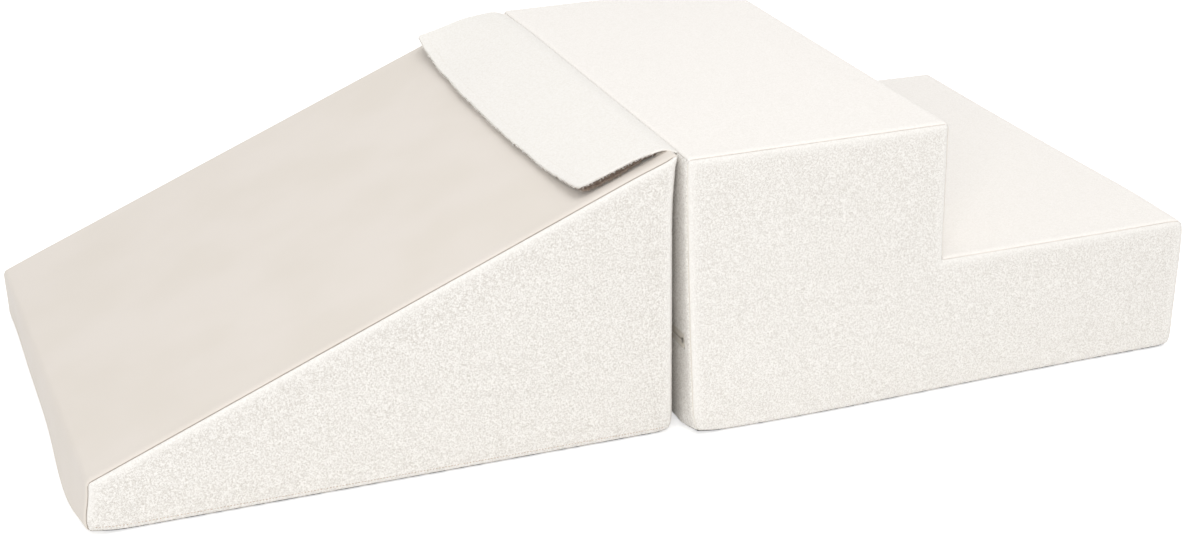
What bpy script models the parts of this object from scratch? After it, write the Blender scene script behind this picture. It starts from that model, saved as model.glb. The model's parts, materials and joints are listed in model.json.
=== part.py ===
"""Soft play slide: a foam wedge slide and a two-step foam block, joined by a sewn flap.

Metres, +Z up. The slide's foot points along -X, the steps stand at +X, and the
origin is at the middle of the footprint, on the floor. Each module is a foam
core in a zipped cover whose panels meet in seams along the module's edges.
"""
import math

import bmesh
import bpy
from mathutils import Vector
from mathutils.geometry import interpolate_bezier

# Module sizes
MODULE_WIDTH = 0.570
WEDGE_LENGTH = 0.598
NOSE_HEIGHT = 0.057
STEPS_HEIGHT = 0.300
LOW_STEP_HEIGHT = 0.150
HIGH_STEP_LENGTH = 0.290
LOW_STEP_LENGTH = 0.290
RIDGE_RISE = 0.002
MODULE_GAP = 0.012
MODULE_SHIFT = 0.0105

# Cover and foam
COVER_THICKNESS = 0.0025
EDGE_ROUNDING = 0.006
EDGE_SEGMENTS = 4
SEAM_GAP = 0.0003
SIDE_TURN = 0.0030
FACE_CROWN = 0.0022
SLOPE_CROWN = 0.0015
SIDE_CROWN = 0.0022
CROWN_DEPTH = 0.060
SIDE_CROWN_REACH = 0.110
CUTTER_REACH = 0.012

# How many cells each face is divided into, so that the crowns can show
CELLS_ACROSS = 10
CELLS_ALONG_WEDGE = 10
CELLS_PER_STEP = 5

# Flap that is sewn to the steps and lies on the slide
FLAP_NEAR_MARGIN = 0.029
FLAP_FAR_MARGIN = 0.008
FLAP_REACH = 0.098
FLAP_SEAM_INSET = 0.003
FLAP_FACE_THICKNESS = 0.0024
FLAP_LINING_THICKNESS = 0.0010
FLAP_CLEARANCE = 0.0006
FLAP_ROOT_GAP = 0.0002
FLAP_CORNER_LIFT = 0.004
FLAP_LIFT_LENGTH = 0.130
FLAP_CELLS_ACROSS = 14

# Hook strip under the flap and the loop strip that it grips on the slope
STRIP_THICKNESS = 0.0015
STRIP_WIDTH = 0.038
STRIP_END_MARGIN = 0.012
STRIP_EDGE_MARGIN = 0.004

# Zip in each module's back
ZIP_HEIGHT = 0.0985
ZIP_WINDOW = 0.0160
ZIP_END_MARGIN = 0.015
ZIP_SLOT = 0.0016
ZIP_BEAD_WIDTH = 0.0020
ZIP_BEAD_THICKNESS = 0.0015
ZIP_TAPE_THICKNESS = 0.0010
ZIP_TAPE_DEPTH = 0.0002
ZIP_STOP_LENGTH = 0.004
SLIDER_LENGTH = 0.0095
SLIDER_WIDTH = 0.0080
SLIDER_TAIL_WIDTH = 0.0058
SLIDER_OUTER_PLATE = 0.0012
SLIDER_INNER_PLATE = 0.0007
SLIDER_POST = 0.0008
SLIDER_POST_LENGTH = 0.0045
SLIDER_LUG_HEIGHT = 0.0010

# Plan positions that follow from the sizes
STEPS_LENGTH = HIGH_STEP_LENGTH + LOW_STEP_LENGTH
TOTAL_LENGTH = WEDGE_LENGTH + MODULE_GAP + STEPS_LENGTH
HALF_WIDTH = MODULE_WIDTH / 2
WEDGE_HEIGHT = STEPS_HEIGHT + RIDGE_RISE
NOSE_X = -TOTAL_LENGTH / 2
WEDGE_BACK_X = NOSE_X + WEDGE_LENGTH
STEPS_BACK_X = WEDGE_BACK_X + MODULE_GAP
RISER_X = STEPS_BACK_X + HIGH_STEP_LENGTH
STEPS_END_X = RISER_X + LOW_STEP_LENGTH
WEDGE_Y = MODULE_SHIFT / 2
STEPS_Y = -MODULE_SHIFT / 2


def srgb(red, green, blue):
    """Linear colour of an 8-bit display colour."""
    def linear(value):
        value = value / 255
        return value / 12.92 if value <= 0.04045 else ((value + 0.055) / 1.055) ** 2.4
    return (linear(red), linear(green), linear(blue), 1.0)


MATERIALS = {
    "boucle": (srgb(244, 241, 234), 0.95),
    "leatherette": (srgb(229, 219, 209), 0.55),
    "base_fabric": (srgb(62, 57, 54), 0.90),
    "foam": (srgb(236, 226, 196), 1.00),
    "lining": (srgb(128, 112, 101), 0.92),
    "hook_tape": (srgb(150, 136, 124), 0.85),
    "loop_tape": (srgb(222, 213, 203), 0.95),
    "zip_tape": (srgb(226, 220, 210), 0.80),
    "zip_metal": (srgb(205, 203, 198), 0.35),
}


def material(name):
    """The named finish, made the first time that a piece asks for it."""
    found = bpy.data.materials.get(name)
    if found:
        return found
    colour, roughness = MATERIALS[name]
    made = bpy.data.materials.new(name)
    made.use_nodes = True
    shader = made.node_tree.nodes["Principled BSDF"]
    shader.inputs["Base Color"].default_value = colour
    shader.inputs["Roughness"].default_value = roughness
    shader.inputs["Metallic"].default_value = 1.0 if name == "zip_metal" else 0.0
    made.diffuse_color = colour
    return made


class Module:
    """One foam block in its cover: an XZ outline that runs anticlockwise, and its crowns."""

    def __init__(self, outline, crowns, centre_y, planes):
        self.outline = [Vector(point) for point in outline]
        self.crowns = crowns
        self.centre_y = centre_y
        self.planes = planes

    def corner(self, index):
        return self.outline[index % len(self.outline)]

    def edge(self, index):
        """First corner, unit direction, unit inward normal and length of an edge."""
        first = self.corner(index)
        run = self.corner(index + 1) - first
        direction = run.normalized()
        return first, direction, Vector((-direction.y, direction.x)), run.length

    def inset(self, distance):
        """The outline moved inwards by a distance, its corners kept sharp."""
        moved = []
        for index in range(len(self.outline)):
            before, after = self.edge(index - 1), self.edge(index)
            lines = []
            for first, direction, inward, _ in (before, after):
                start = first + inward * distance
                lines += [start, start + direction]
            moved.append(line_crossing(*lines))
        return moved

    def wall_band(self, first_edge, last_edge, start=None, stop=None):
        """XZ polygon that cuts one panel out of the wall.

        It reaches from mitre to mitre at the panel's corners, or from start to
        stop, measured along its edges, where the panel ends square.
        """
        outer = self.inset(-CUTTER_REACH)
        inner = self.inset(CUTTER_REACH)
        corners = range(first_edge, last_edge + 2)
        count = len(self.outline)
        outside = [outer[index % count].copy() for index in corners]
        inside = [inner[index % count].copy() for index in corners]
        for end, edge_index, stretch, sense in ((0, first_edge, start, 1), (-1, last_edge, stop, -1)):
            first, direction, inward, _ = self.edge(edge_index)
            if stretch is None:
                mitre = (inside[end] - outside[end]).normalized()
                across = Vector((mitre.y, -mitre.x))
                if across.dot(direction) * sense < 0:
                    across.negate()
                outside[end] += across * SEAM_GAP / 2
                inside[end] += across * SEAM_GAP / 2
            else:
                square = first + direction * stretch
                outside[end] = square - inward * CUTTER_REACH
                inside[end] = square + inward * CUTTER_REACH
        return outside + inside[::-1]

    def swell(self, point):
        """Where the filling presses a point of the cover."""
        flat = Vector((point.x, point.z))
        push = Vector((0.0, 0.0, 0.0))
        nearest = SIDE_CROWN_REACH
        across = crown_shape((point.y + HALF_WIDTH) / MODULE_WIDTH)
        for index, crown in enumerate(self.crowns):
            first, direction, inward, length = self.edge(index)
            along = (flat - first).dot(direction) / length
            depth = (flat - first).dot(inward)
            held = first + direction * length * min(max(along, 0.0), 1.0)
            nearest = min(nearest, (flat - held).length)
            if 0 < along < 1 and -EDGE_ROUNDING / 2 < depth < CROWN_DEPTH:
                fade = min(1.0, 1.0 - depth / CROWN_DEPTH)
                size = crown * crown_shape(along) * across * fade
                push.x -= inward.x * size
                push.z -= inward.y * size
        side = 1.0 - (1.0 - nearest / SIDE_CROWN_REACH) ** 2
        push.y = SIDE_CROWN * side * point.y / HALF_WIDTH
        return point + push


def line_crossing(point_a, point_b, point_c, point_d):
    """Where the line through a and b meets the line through c and d."""
    run, other, gap = point_b - point_a, point_d - point_c, point_c - point_a
    share = (gap.x * other.y - gap.y * other.x) / (run.x * other.y - run.y * other.x)
    return point_a + run * share


def crown_shape(share):
    """Rise of a stuffed face, 0 at its edges and 1 at its middle."""
    return max(0.0, 1.0 - abs(2 * share - 1) ** 3)


def spaced(low, high, cells):
    """Places of the lines that divide a length into equal cells."""
    return [low + (high - low) * index / cells for index in range(1, cells)]


def prism(polygon, low_y, high_y):
    """Mesh of an XZ polygon extruded along Y, as a bmesh."""
    solid = bmesh.new()
    cap = solid.faces.new([solid.verts.new((x, low_y, z)) for x, z in polygon])
    grown = bmesh.ops.extrude_face_region(solid, geom=[cap])
    moved = [item for item in grown["geom"] if isinstance(item, bmesh.types.BMVert)]
    bmesh.ops.translate(solid, verts=moved, vec=(0.0, high_y - low_y, 0.0))
    bmesh.ops.recalc_face_normals(solid, faces=solid.faces)
    return solid


def as_object(solid, name, collection):
    """Object of a bmesh, which is freed."""
    mesh = bpy.data.meshes.new(name)
    solid.to_mesh(mesh)
    solid.free()
    made = bpy.data.objects.new(name, mesh)
    collection.objects.link(made)
    return made


def rounded_block(module, inset):
    """The module's block with its walls moved in by inset and its outer edges rounded."""
    reach = HALF_WIDTH - inset
    block = prism(module.inset(inset), -reach, reach)
    convex = [edge for edge in block.edges if edge.is_convex]
    bmesh.ops.bevel(block, geom=convex, offset=EDGE_ROUNDING - inset, offset_type="OFFSET",
                    segments=EDGE_SEGMENTS, profile=0.5, affect="EDGES", clamp_overlap=True)
    return block


def combined(start, steps):
    """Bmesh of a solid after its Boolean steps, each an operation and another bmesh."""
    body = as_object(start, "blank", BENCH)
    tools = []
    for operation, tool in steps:
        cutter = as_object(tool, "cutter", BENCH)
        cut = body.modifiers.new(operation.lower(), "BOOLEAN")
        cut.operation = operation
        cut.object = cutter
        tools.append(cutter)
    view = body.evaluated_get(bpy.context.evaluated_depsgraph_get())
    mesh = bpy.data.meshes.new_from_object(view)
    result = bmesh.new()
    result.from_mesh(mesh)
    bpy.data.meshes.remove(mesh)
    for used in [body] + tools:
        bpy.data.objects.remove(used)
    return result


def divided(solid, module, axes):
    """Cut the solid's faces along the module's planes, for the crowns."""
    for axis in axes:
        normal = Vector((0.0, 0.0, 0.0))
        normal["xyz".index(axis)] = 1.0
        for place in module.planes[axis]:
            whole = solid.verts[:] + solid.edges[:] + solid.faces[:]
            bmesh.ops.bisect_plane(solid, geom=whole, plane_co=normal * place, plane_no=normal)
    many_sided = [face for face in solid.faces if len(face.verts) > 4]
    bmesh.ops.triangulate(solid, faces=many_sided)


def swollen(solid, module):
    """Press the solid out by the module's crowns and set it at the module's place."""
    for vert in solid.verts:
        vert.co = module.swell(vert.co)
        vert.co.y += module.centre_y


def add_piece(name, solid, finish, parent):
    """Named part: its origin is its parent's, which lies on the joint's axis."""
    bmesh.ops.translate(solid, verts=solid.verts, vec=-parent.location)
    part = as_object(solid, name, PARTS)
    part.data.materials.append(material(finish))
    part.parent = parent
    part.data.shade_smooth()
    part.data.set_sharp_from_angle(angle=math.radians(30))
    return part


def add_pivot(name, place):
    """Empty that carries the pieces of one moving group."""
    pivot = bpy.data.objects.new(name, None)
    pivot.location = place
    PARTS.objects.link(pivot)
    return pivot


def wall_panel(module, name, finish, parent, polygon, axes, window=None):
    """Cover panel: the wall's stretch inside a polygon, between the two side panels."""
    reach = HALF_WIDTH - SIDE_TURN - SEAM_GAP
    steps = [("INTERSECT", prism(polygon, -reach, reach)),
             ("DIFFERENCE", rounded_block(module, COVER_THICKNESS))]
    if window:
        steps.append(("DIFFERENCE", window))
    panel = combined(rounded_block(module, 0.0), steps)
    divided(panel, module, axes)
    swollen(panel, module)
    return add_piece(name, panel, finish, parent)


def side_panels(module, prefix, parent):
    """Near and far side panels: shallow trays whose rims turn over the module's edges."""
    around = module.inset(-CUTTER_REACH)
    for word, side in (("near", -1), ("far", 1)):
        bounds = sorted((side * (HALF_WIDTH + CUTTER_REACH), side * (HALF_WIDTH - SIDE_TURN)))
        panel = combined(rounded_block(module, 0.0),
                         [("INTERSECT", prism(around, *bounds)),
                          ("DIFFERENCE", rounded_block(module, COVER_THICKNESS))])
        divided(panel, module, "xz")
        swollen(panel, module)
        add_piece(f"{prefix}_{word}_side_panel", panel, "boucle", parent)


def foam_block(module, name, parent, low_z, high_z):
    """Foam between two levels: it is cut flat, and the cover swells over it."""
    core = rounded_block(module, COVER_THICKNESS + SEAM_GAP)
    left = min(point.x for point in module.outline) - CUTTER_REACH
    right = max(point.x for point in module.outline) + CUTTER_REACH
    slab = [(left, low_z), (right, low_z), (right, high_z), (left, high_z)]
    core = combined(core, [("INTERSECT", prism(slab, -MODULE_WIDTH, MODULE_WIDTH))])
    bmesh.ops.translate(core, verts=core.verts, vec=(0.0, module.centre_y, 0.0))
    add_piece(name, core, "foam", parent)


def zip_window():
    """Block that cuts the zip's window out of a back panel."""
    reach = HALF_WIDTH - ZIP_END_MARGIN
    low, high = ZIP_HEIGHT - ZIP_WINDOW / 2, ZIP_HEIGHT + ZIP_WINDOW / 2
    left, right = WEDGE_BACK_X - CUTTER_REACH, STEPS_BACK_X + CUTTER_REACH
    return prism([(left, low), (right, low), (right, high), (left, high)], -reach, reach)


def zip_half_outline(face_x, outward, side):
    """Section of one zip half: a flat tape with the coil as a bead along its inner edge."""
    bead_in = ZIP_SLOT / 2
    bead_out = bead_in + ZIP_BEAD_WIDTH
    chamfer = ZIP_BEAD_THICKNESS / 3
    tape_end = ZIP_WINDOW / 2 - SEAM_GAP
    tape_in = ZIP_TAPE_DEPTH + ZIP_TAPE_THICKNESS
    bead_top = ZIP_TAPE_DEPTH + (ZIP_TAPE_THICKNESS - ZIP_BEAD_THICKNESS) / 2
    bead_base = bead_top + ZIP_BEAD_THICKNESS
    section = [(ZIP_TAPE_DEPTH, tape_end), (ZIP_TAPE_DEPTH, bead_out), (bead_top, bead_out - chamfer),
               (bead_top, bead_in + chamfer), (bead_top + chamfer, bead_in),
               (bead_base - chamfer, bead_in), (bead_base, bead_in + chamfer),
               (bead_base, bead_out - chamfer), (tape_in, bead_out), (tape_in, tape_end)]
    return [(face_x - outward * depth, ZIP_HEIGHT + side * rise) for depth, rise in section]


def zip_slider(face_x, outward, centre_y):
    """Zip slider: an outer plate with a lug, a post between the coils and an inner plate."""
    bead_top = ZIP_TAPE_DEPTH + (ZIP_TAPE_THICKNESS - ZIP_BEAD_THICKNESS) / 2
    bead_base = bead_top + ZIP_BEAD_THICKNESS
    outer_in = bead_top - SEAM_GAP
    outer_out = outer_in - SLIDER_OUTER_PLATE
    inner_out = bead_base + SEAM_GAP
    inner_in = inner_out + SLIDER_INNER_PLATE

    def slab(front, back, wide, narrow, length):
        """Tapered plate between two depths, wide at the end where the zip opens."""
        low, high = sorted((face_x - outward * front, face_x - outward * back))
        plate = prism([(low, -wide / 2), (high, -wide / 2), (high, wide / 2), (low, wide / 2)],
                      centre_y - SLIDER_LENGTH / 2, centre_y - SLIDER_LENGTH / 2 + length)
        tail = centre_y + SLIDER_LENGTH / 2
        for vert in plate.verts:
            if vert.co.y > tail - SLIDER_LENGTH / 10:
                vert.co.z *= narrow / wide
            vert.co.z += ZIP_HEIGHT
        return plate

    overlap = SLIDER_INNER_PLATE / 2
    post = slab(outer_in - overlap, inner_out + overlap, SLIDER_POST, SLIDER_POST, SLIDER_POST_LENGTH)
    inner = slab(inner_out, inner_in, SLIDER_WIDTH, SLIDER_TAIL_WIDTH, SLIDER_LENGTH)
    lug = slab(outer_out - SLIDER_LUG_HEIGHT, outer_out + overlap, SLIDER_WIDTH / 4,
               SLIDER_WIDTH / 4, SLIDER_LENGTH / 2)
    outer = slab(outer_out, outer_in, SLIDER_WIDTH, SLIDER_TAIL_WIDTH, SLIDER_LENGTH)
    return combined(outer, [("UNION", post), ("UNION", inner), ("UNION", lug)])


def add_zip(prefix, face_x, outward, centre_y, parent):
    """Two zip halves, the stop at the open end, and the slider at the closed end."""
    reach = HALF_WIDTH - ZIP_END_MARGIN - SEAM_GAP
    low = centre_y - reach + ZIP_STOP_LENGTH + SEAM_GAP
    high = centre_y + reach
    for word, side in (("lower", -1), ("upper", 1)):
        outline = zip_half_outline(face_x, outward, side)
        add_piece(f"{prefix}_zip_half_{word}", prism(outline, low, high), "zip_tape", parent)
    front, back = sorted((face_x - outward * ZIP_TAPE_DEPTH,
                          face_x - outward * (ZIP_TAPE_DEPTH + ZIP_TAPE_THICKNESS)))
    half = ZIP_SLOT / 2 + ZIP_BEAD_WIDTH
    stop = prism([(front, ZIP_HEIGHT - half), (back, ZIP_HEIGHT - half),
                  (back, ZIP_HEIGHT + half), (front, ZIP_HEIGHT + half)],
                 centre_y - reach, centre_y - reach + ZIP_STOP_LENGTH)
    add_piece(f"{prefix}_zip_stop", stop, "zip_metal", parent)
    slider_y = high - SLIDER_LENGTH
    pivot = add_pivot(f"{prefix}_zip_runner", (face_x, slider_y, ZIP_HEIGHT))
    add_piece(f"{prefix}_zip_slider", zip_slider(face_x, outward, slider_y), "zip_metal", pivot)


def build_wedge(wedge, pivot):
    """The slide: foam, slide panel over slope and nose, sides, back, base, loop strip and zip."""
    foam_block(wedge, "wedge_foam_core", pivot, -CUTTER_REACH, WEDGE_HEIGHT + CUTTER_REACH)
    wall_panel(wedge, "wedge_base_panel", "base_fabric", pivot, wedge.wall_band(0, 0), "")
    wall_panel(wedge, "wedge_back_panel", "boucle", pivot, wedge.wall_band(1, 1), "", zip_window())
    wall_panel(wedge, "wedge_slide_panel", "leatherette", pivot, wedge.wall_band(2, 3), "xyz")
    side_panels(wedge, "wedge", pivot)
    add_zip("wedge", WEDGE_BACK_X, 1, WEDGE_Y, pivot)


def add_loop_strip(wedge, pivot):
    """Loop strip on the slope under the flap, which follows the slope's crown."""
    low = FLAP_LOW_Y + STRIP_END_MARGIN - WEDGE_Y
    high = FLAP_HIGH_Y - STRIP_END_MARGIN - WEDGE_Y
    stop = FLAP_REACH - STRIP_EDGE_MARGIN
    zone = wedge.wall_band(2, 2, stop - STRIP_WIDTH, stop)
    strip = combined(rounded_block(wedge, -SEAM_GAP - STRIP_THICKNESS),
                     [("INTERSECT", prism(zone, low, high)),
                      ("DIFFERENCE", rounded_block(wedge, -SEAM_GAP))])
    divided(strip, wedge, "xy")
    swollen(strip, wedge)
    add_piece("wedge_loop_strip", strip, "loop_tape", pivot)


def build_steps(steps, pivot):
    """The steps: two foam blocks, treads, riser, end, sides, back, base and zip."""
    parting = LOW_STEP_HEIGHT - COVER_THICKNESS - SEAM_GAP
    foam_block(steps, "steps_lower_foam_block", pivot, -CUTTER_REACH, parting)
    foam_block(steps, "steps_upper_foam_block", pivot, parting + SEAM_GAP, STEPS_HEIGHT + CUTTER_REACH)
    wall_panel(steps, "steps_base_panel", "base_fabric", pivot, steps.wall_band(0, 0), "")
    wall_panel(steps, "steps_end_panel", "boucle", pivot, steps.wall_band(1, 1), "yz")
    wall_panel(steps, "steps_low_tread_panel", "boucle", pivot, steps.wall_band(2, 2), "xy")
    wall_panel(steps, "steps_riser_panel", "boucle", pivot, steps.wall_band(3, 3), "yz")
    wall_panel(steps, "steps_top_tread_panel", "boucle", pivot, steps.wall_band(4, 4), "xy")
    wall_panel(steps, "steps_back_panel", "boucle", pivot, steps.wall_band(5, 5), "", zip_window())
    side_panels(steps, "steps", pivot)
    add_zip("steps", STEPS_BACK_X, -1, STEPS_Y, pivot)


def seam_height():
    """Level of the flap's seam: its root is seated on the rounding of the steps' top edge."""
    to_centre = EDGE_ROUNDING - FLAP_SEAM_INSET
    rounding_top = STEPS_HEIGHT - EDGE_ROUNDING + math.sqrt(EDGE_ROUNDING ** 2 - to_centre ** 2)
    return rounding_top + FLAP_ROOT_GAP + FLAP_FACE_THICKNESS


def flap_top_curve(wedge):
    """Points of the flap's upper surface in XZ, from its seam over the ridge to its free edge."""
    ridge, slope, inward, _ = wedge.edge(2)
    outward = -inward
    half_angle = (math.pi - slope.angle(Vector((0.0, 1.0)))) / 2
    ridge_radius = EDGE_ROUNDING * math.tan(half_angle)
    stack = FLAP_FACE_THICKNESS + SEAM_GAP + FLAP_LINING_THICKNESS
    strips = 2 * STRIP_THICKNESS + 3 * SEAM_GAP + SLOPE_CROWN
    crest = Vector((ridge.x - ridge_radius,
                    ridge.y - EDGE_ROUNDING + ridge_radius + FLAP_CLEARANCE + stack))
    strip_start = FLAP_REACH - STRIP_EDGE_MARGIN - STRIP_WIDTH - STRIP_EDGE_MARGIN
    rest = ridge + slope * strip_start + outward * (stack + strips)
    end = ridge + slope * FLAP_REACH + outward * (stack + strips)
    seam = Vector((STEPS_BACK_X + FLAP_SEAM_INSET, seam_height()))
    over = Vector((-1.0, 0.0)).lerp(slope, 0.4).normalized()
    first_arm = (crest - seam).length / 3
    second_arm = (rest - crest).length / 3
    rising = (crest - seam).normalized().lerp(Vector((-1.0, 0.4)).normalized(), 0.5)
    arch = interpolate_bezier(seam, seam + rising * first_arm, crest - over * first_arm, crest, 6)
    lay = interpolate_bezier(crest, crest + over * second_arm, rest - slope * second_arm, rest, 5)
    tail = [rest.lerp(end, share) for share in (0.34, 0.67, 1.0)]
    return [Vector(point[:2]) for point in arch + lay[1:]] + tail


def curve_below(points, depth):
    """The curve moved a distance to its underside."""
    moved = []
    for index, point in enumerate(points):
        run = points[min(index + 1, len(points) - 1)] - points[max(index - 1, 0)]
        run.normalize()
        moved.append(point + Vector((-run.y, run.x)) * depth)
    return moved


def flap_layer(name, top, from_depth, to_depth, start, finish, parent, margin=0.0, edge=0.0):
    """One layer of the flap, between two depths under its upper surface and two of its points."""
    above = curve_below(top, from_depth)[start:]
    below = curve_below(top, to_depth)[start:]
    if edge:
        for line in (above, below):
            line[-1] = line[-1] + (line[-2] - line[-1]).normalized() * edge
    low, high = FLAP_LOW_Y + margin, FLAP_HIGH_Y - margin
    layer = prism(above + below[::-1], low, high)
    for place in spaced(low, high, FLAP_CELLS_ACROSS):
        whole = layer.verts[:] + layer.edges[:] + layer.faces[:]
        bmesh.ops.bisect_plane(layer, geom=whole, plane_co=(0.0, place, 0.0), plane_no=(0.0, 1.0, 0.0))
    seam_x, end_x = top[0].x, top[-1].x
    for vert in layer.verts:
        out = min(max((seam_x - vert.co.x) / (seam_x - end_x), 0.0), 1.0)
        near = min(max(1.0 - (vert.co.y - FLAP_LOW_Y) / FLAP_LIFT_LENGTH, 0.0), 1.0)
        vert.co.z += FLAP_CORNER_LIFT * out ** 2 * near ** 2
    caps = [face for face in layer.faces if len(face.verts) > 4]
    bmesh.ops.triangulate(layer, faces=caps)
    add_piece(name, layer, finish, parent)


def build_flap(wedge, pivot):
    """The flap: upper face, lining under it, and the hook strip along its free edge."""
    top = flap_top_curve(wedge)
    lining_top = FLAP_FACE_THICKNESS + SEAM_GAP
    strip_top = lining_top + FLAP_LINING_THICKNESS + SEAM_GAP
    strip_points = 4
    flap_layer("flap_face", top, 0.0, FLAP_FACE_THICKNESS, 0, "boucle", pivot)
    flap_layer("flap_lining", top, lining_top, lining_top + FLAP_LINING_THICKNESS, 1,
               "lining", pivot, margin=SEAM_GAP * 4)
    flap_layer("flap_hook_strip", top, strip_top, strip_top + STRIP_THICKNESS,
               len(top) - strip_points, "hook_tape", pivot, margin=STRIP_END_MARGIN,
               edge=STRIP_EDGE_MARGIN)


for leftover in list(bpy.data.objects):
    bpy.data.objects.remove(leftover, do_unlink=True)

PARTS = bpy.data.collections.new("soft_play_slide")
BENCH = bpy.data.collections.new("cutters")
for group in (PARTS, BENCH):
    bpy.context.scene.collection.children.link(group)

FLAP_LOW_Y = STEPS_Y - HALF_WIDTH + FLAP_NEAR_MARGIN
FLAP_HIGH_Y = STEPS_Y + HALF_WIDTH - FLAP_FAR_MARGIN

WEDGE = Module(
    [(NOSE_X, 0.0), (WEDGE_BACK_X, 0.0), (WEDGE_BACK_X, WEDGE_HEIGHT), (NOSE_X, NOSE_HEIGHT)],
    (0.0, 0.0, SLOPE_CROWN, FACE_CROWN), WEDGE_Y,
    {"x": spaced(NOSE_X, WEDGE_BACK_X, CELLS_ALONG_WEDGE),
     "y": spaced(-HALF_WIDTH, HALF_WIDTH, CELLS_ACROSS),
     "z": [NOSE_HEIGHT / 2] + spaced(NOSE_HEIGHT, WEDGE_HEIGHT, CELLS_PER_STEP)})
STEPS = Module(
    [(STEPS_BACK_X, 0.0), (STEPS_END_X, 0.0), (STEPS_END_X, LOW_STEP_HEIGHT),
     (RISER_X, LOW_STEP_HEIGHT), (RISER_X, STEPS_HEIGHT), (STEPS_BACK_X, STEPS_HEIGHT)],
    (0.0, FACE_CROWN, FACE_CROWN, FACE_CROWN, FACE_CROWN, 0.0), STEPS_Y,
    {"x": spaced(STEPS_BACK_X, RISER_X, CELLS_PER_STEP) + spaced(RISER_X, STEPS_END_X, CELLS_PER_STEP),
     "y": spaced(-HALF_WIDTH, HALF_WIDTH, CELLS_ACROSS),
     "z": [LOW_STEP_HEIGHT / 2, (LOW_STEP_HEIGHT + STEPS_HEIGHT) / 2]})

steps_base = add_pivot("steps_base", (STEPS_BACK_X, STEPS_Y, 0.0))
wedge_base = add_pivot("wedge_base", (WEDGE_BACK_X, WEDGE_Y, 0.0))
flap_seam = add_pivot("flap_seam", (STEPS_BACK_X + FLAP_SEAM_INSET, 0.0, seam_height()))

build_steps(STEPS, steps_base)
build_wedge(WEDGE, wedge_base)
add_loop_strip(WEDGE, wedge_base)
build_flap(WEDGE, flap_seam)
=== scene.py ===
"""Looks of the soft play slide: its sewn covers, foam, flap and zips, and the studio round them.

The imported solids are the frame. Every cover panel is shaped again here as a fine sheet that
follows the same outline, with its crown, rolled edges, seams and pile. Metres, +Z up, the
slide's foot towards -X and the photographed side towards -Y.
"""
from __future__ import annotations

import json
import logging
import math
import random
from bisect import bisect_right
from dataclasses import dataclass, field
from enum import Enum
from typing import Callable, Sequence

import bmesh
import bpy
from mathutils import Matrix, Vector, noise
from mathutils.geometry import interpolate_bezier

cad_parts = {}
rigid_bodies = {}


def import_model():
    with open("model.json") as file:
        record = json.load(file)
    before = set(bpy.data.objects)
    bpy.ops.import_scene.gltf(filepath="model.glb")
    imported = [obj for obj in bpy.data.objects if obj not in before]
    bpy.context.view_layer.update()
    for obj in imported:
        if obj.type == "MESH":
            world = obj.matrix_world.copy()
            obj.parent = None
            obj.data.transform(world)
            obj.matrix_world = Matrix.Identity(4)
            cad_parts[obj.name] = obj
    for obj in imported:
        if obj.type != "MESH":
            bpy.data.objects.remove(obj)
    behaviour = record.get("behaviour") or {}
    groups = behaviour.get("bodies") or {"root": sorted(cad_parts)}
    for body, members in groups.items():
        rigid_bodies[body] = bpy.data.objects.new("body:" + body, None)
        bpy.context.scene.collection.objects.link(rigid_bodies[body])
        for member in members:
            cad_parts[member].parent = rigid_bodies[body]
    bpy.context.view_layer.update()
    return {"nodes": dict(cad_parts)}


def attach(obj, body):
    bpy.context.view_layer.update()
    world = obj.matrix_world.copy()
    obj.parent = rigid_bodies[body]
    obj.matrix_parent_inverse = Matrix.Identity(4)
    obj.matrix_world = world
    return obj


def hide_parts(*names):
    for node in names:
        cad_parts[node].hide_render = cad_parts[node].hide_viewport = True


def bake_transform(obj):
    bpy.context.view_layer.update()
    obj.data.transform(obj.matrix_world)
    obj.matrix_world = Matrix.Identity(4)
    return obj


LOG = logging.getLogger("soft_play_slide")

Place = Callable[[float, float], tuple[Vector, Vector]]
Lift = Callable[[float, float, Vector], float]
Keep = Callable[[float, float], bool] | None
SideGrid = tuple[list[float], list[float], Keep, float]
Socket = bpy.types.NodeSocket

SLACK_REACH = 0.02  # distance from a seam over which a cover's slack sets in
PILE_REACH = 0.003  # distance from a seam at which the pile stands at full height
INNER_REACH = 0.02  # distance from an inner corner over which a panel draws into it


class Side(Enum):
    """The two sides of a module; the photographed one is near."""

    NEAR = -1
    FAR = 1


class Corner(Enum):
    """How a wall panel ends at a corner of the outline."""

    MITRE = "shares the rounding evenly with the next panel"
    ABOVE_BASE = "takes most of the rounding, so that little base cloth shows"
    BASE = "takes the rest of the rounding that meets the floor"
    INNER = "meets the next panel in a sharp inner corner"


Run = tuple[int, int, Corner, Corner]  # a wall panel's first and last edge, and how it ends there

SLIDE_RUN: Run = (2, 3, Corner.MITRE, Corner.ABOVE_BASE)
STEPS_RUNS: dict[str, Run] = {
    "end": (1, 1, Corner.ABOVE_BASE, Corner.MITRE),
    "low_tread": (2, 2, Corner.MITRE, Corner.INNER),
    "riser": (3, 3, Corner.INNER, Corner.MITRE),
    "top_tread": (4, 4, Corner.MITRE, Corner.MITRE),
    "back": (5, 5, Corner.MITRE, Corner.ABOVE_BASE),
}


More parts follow.
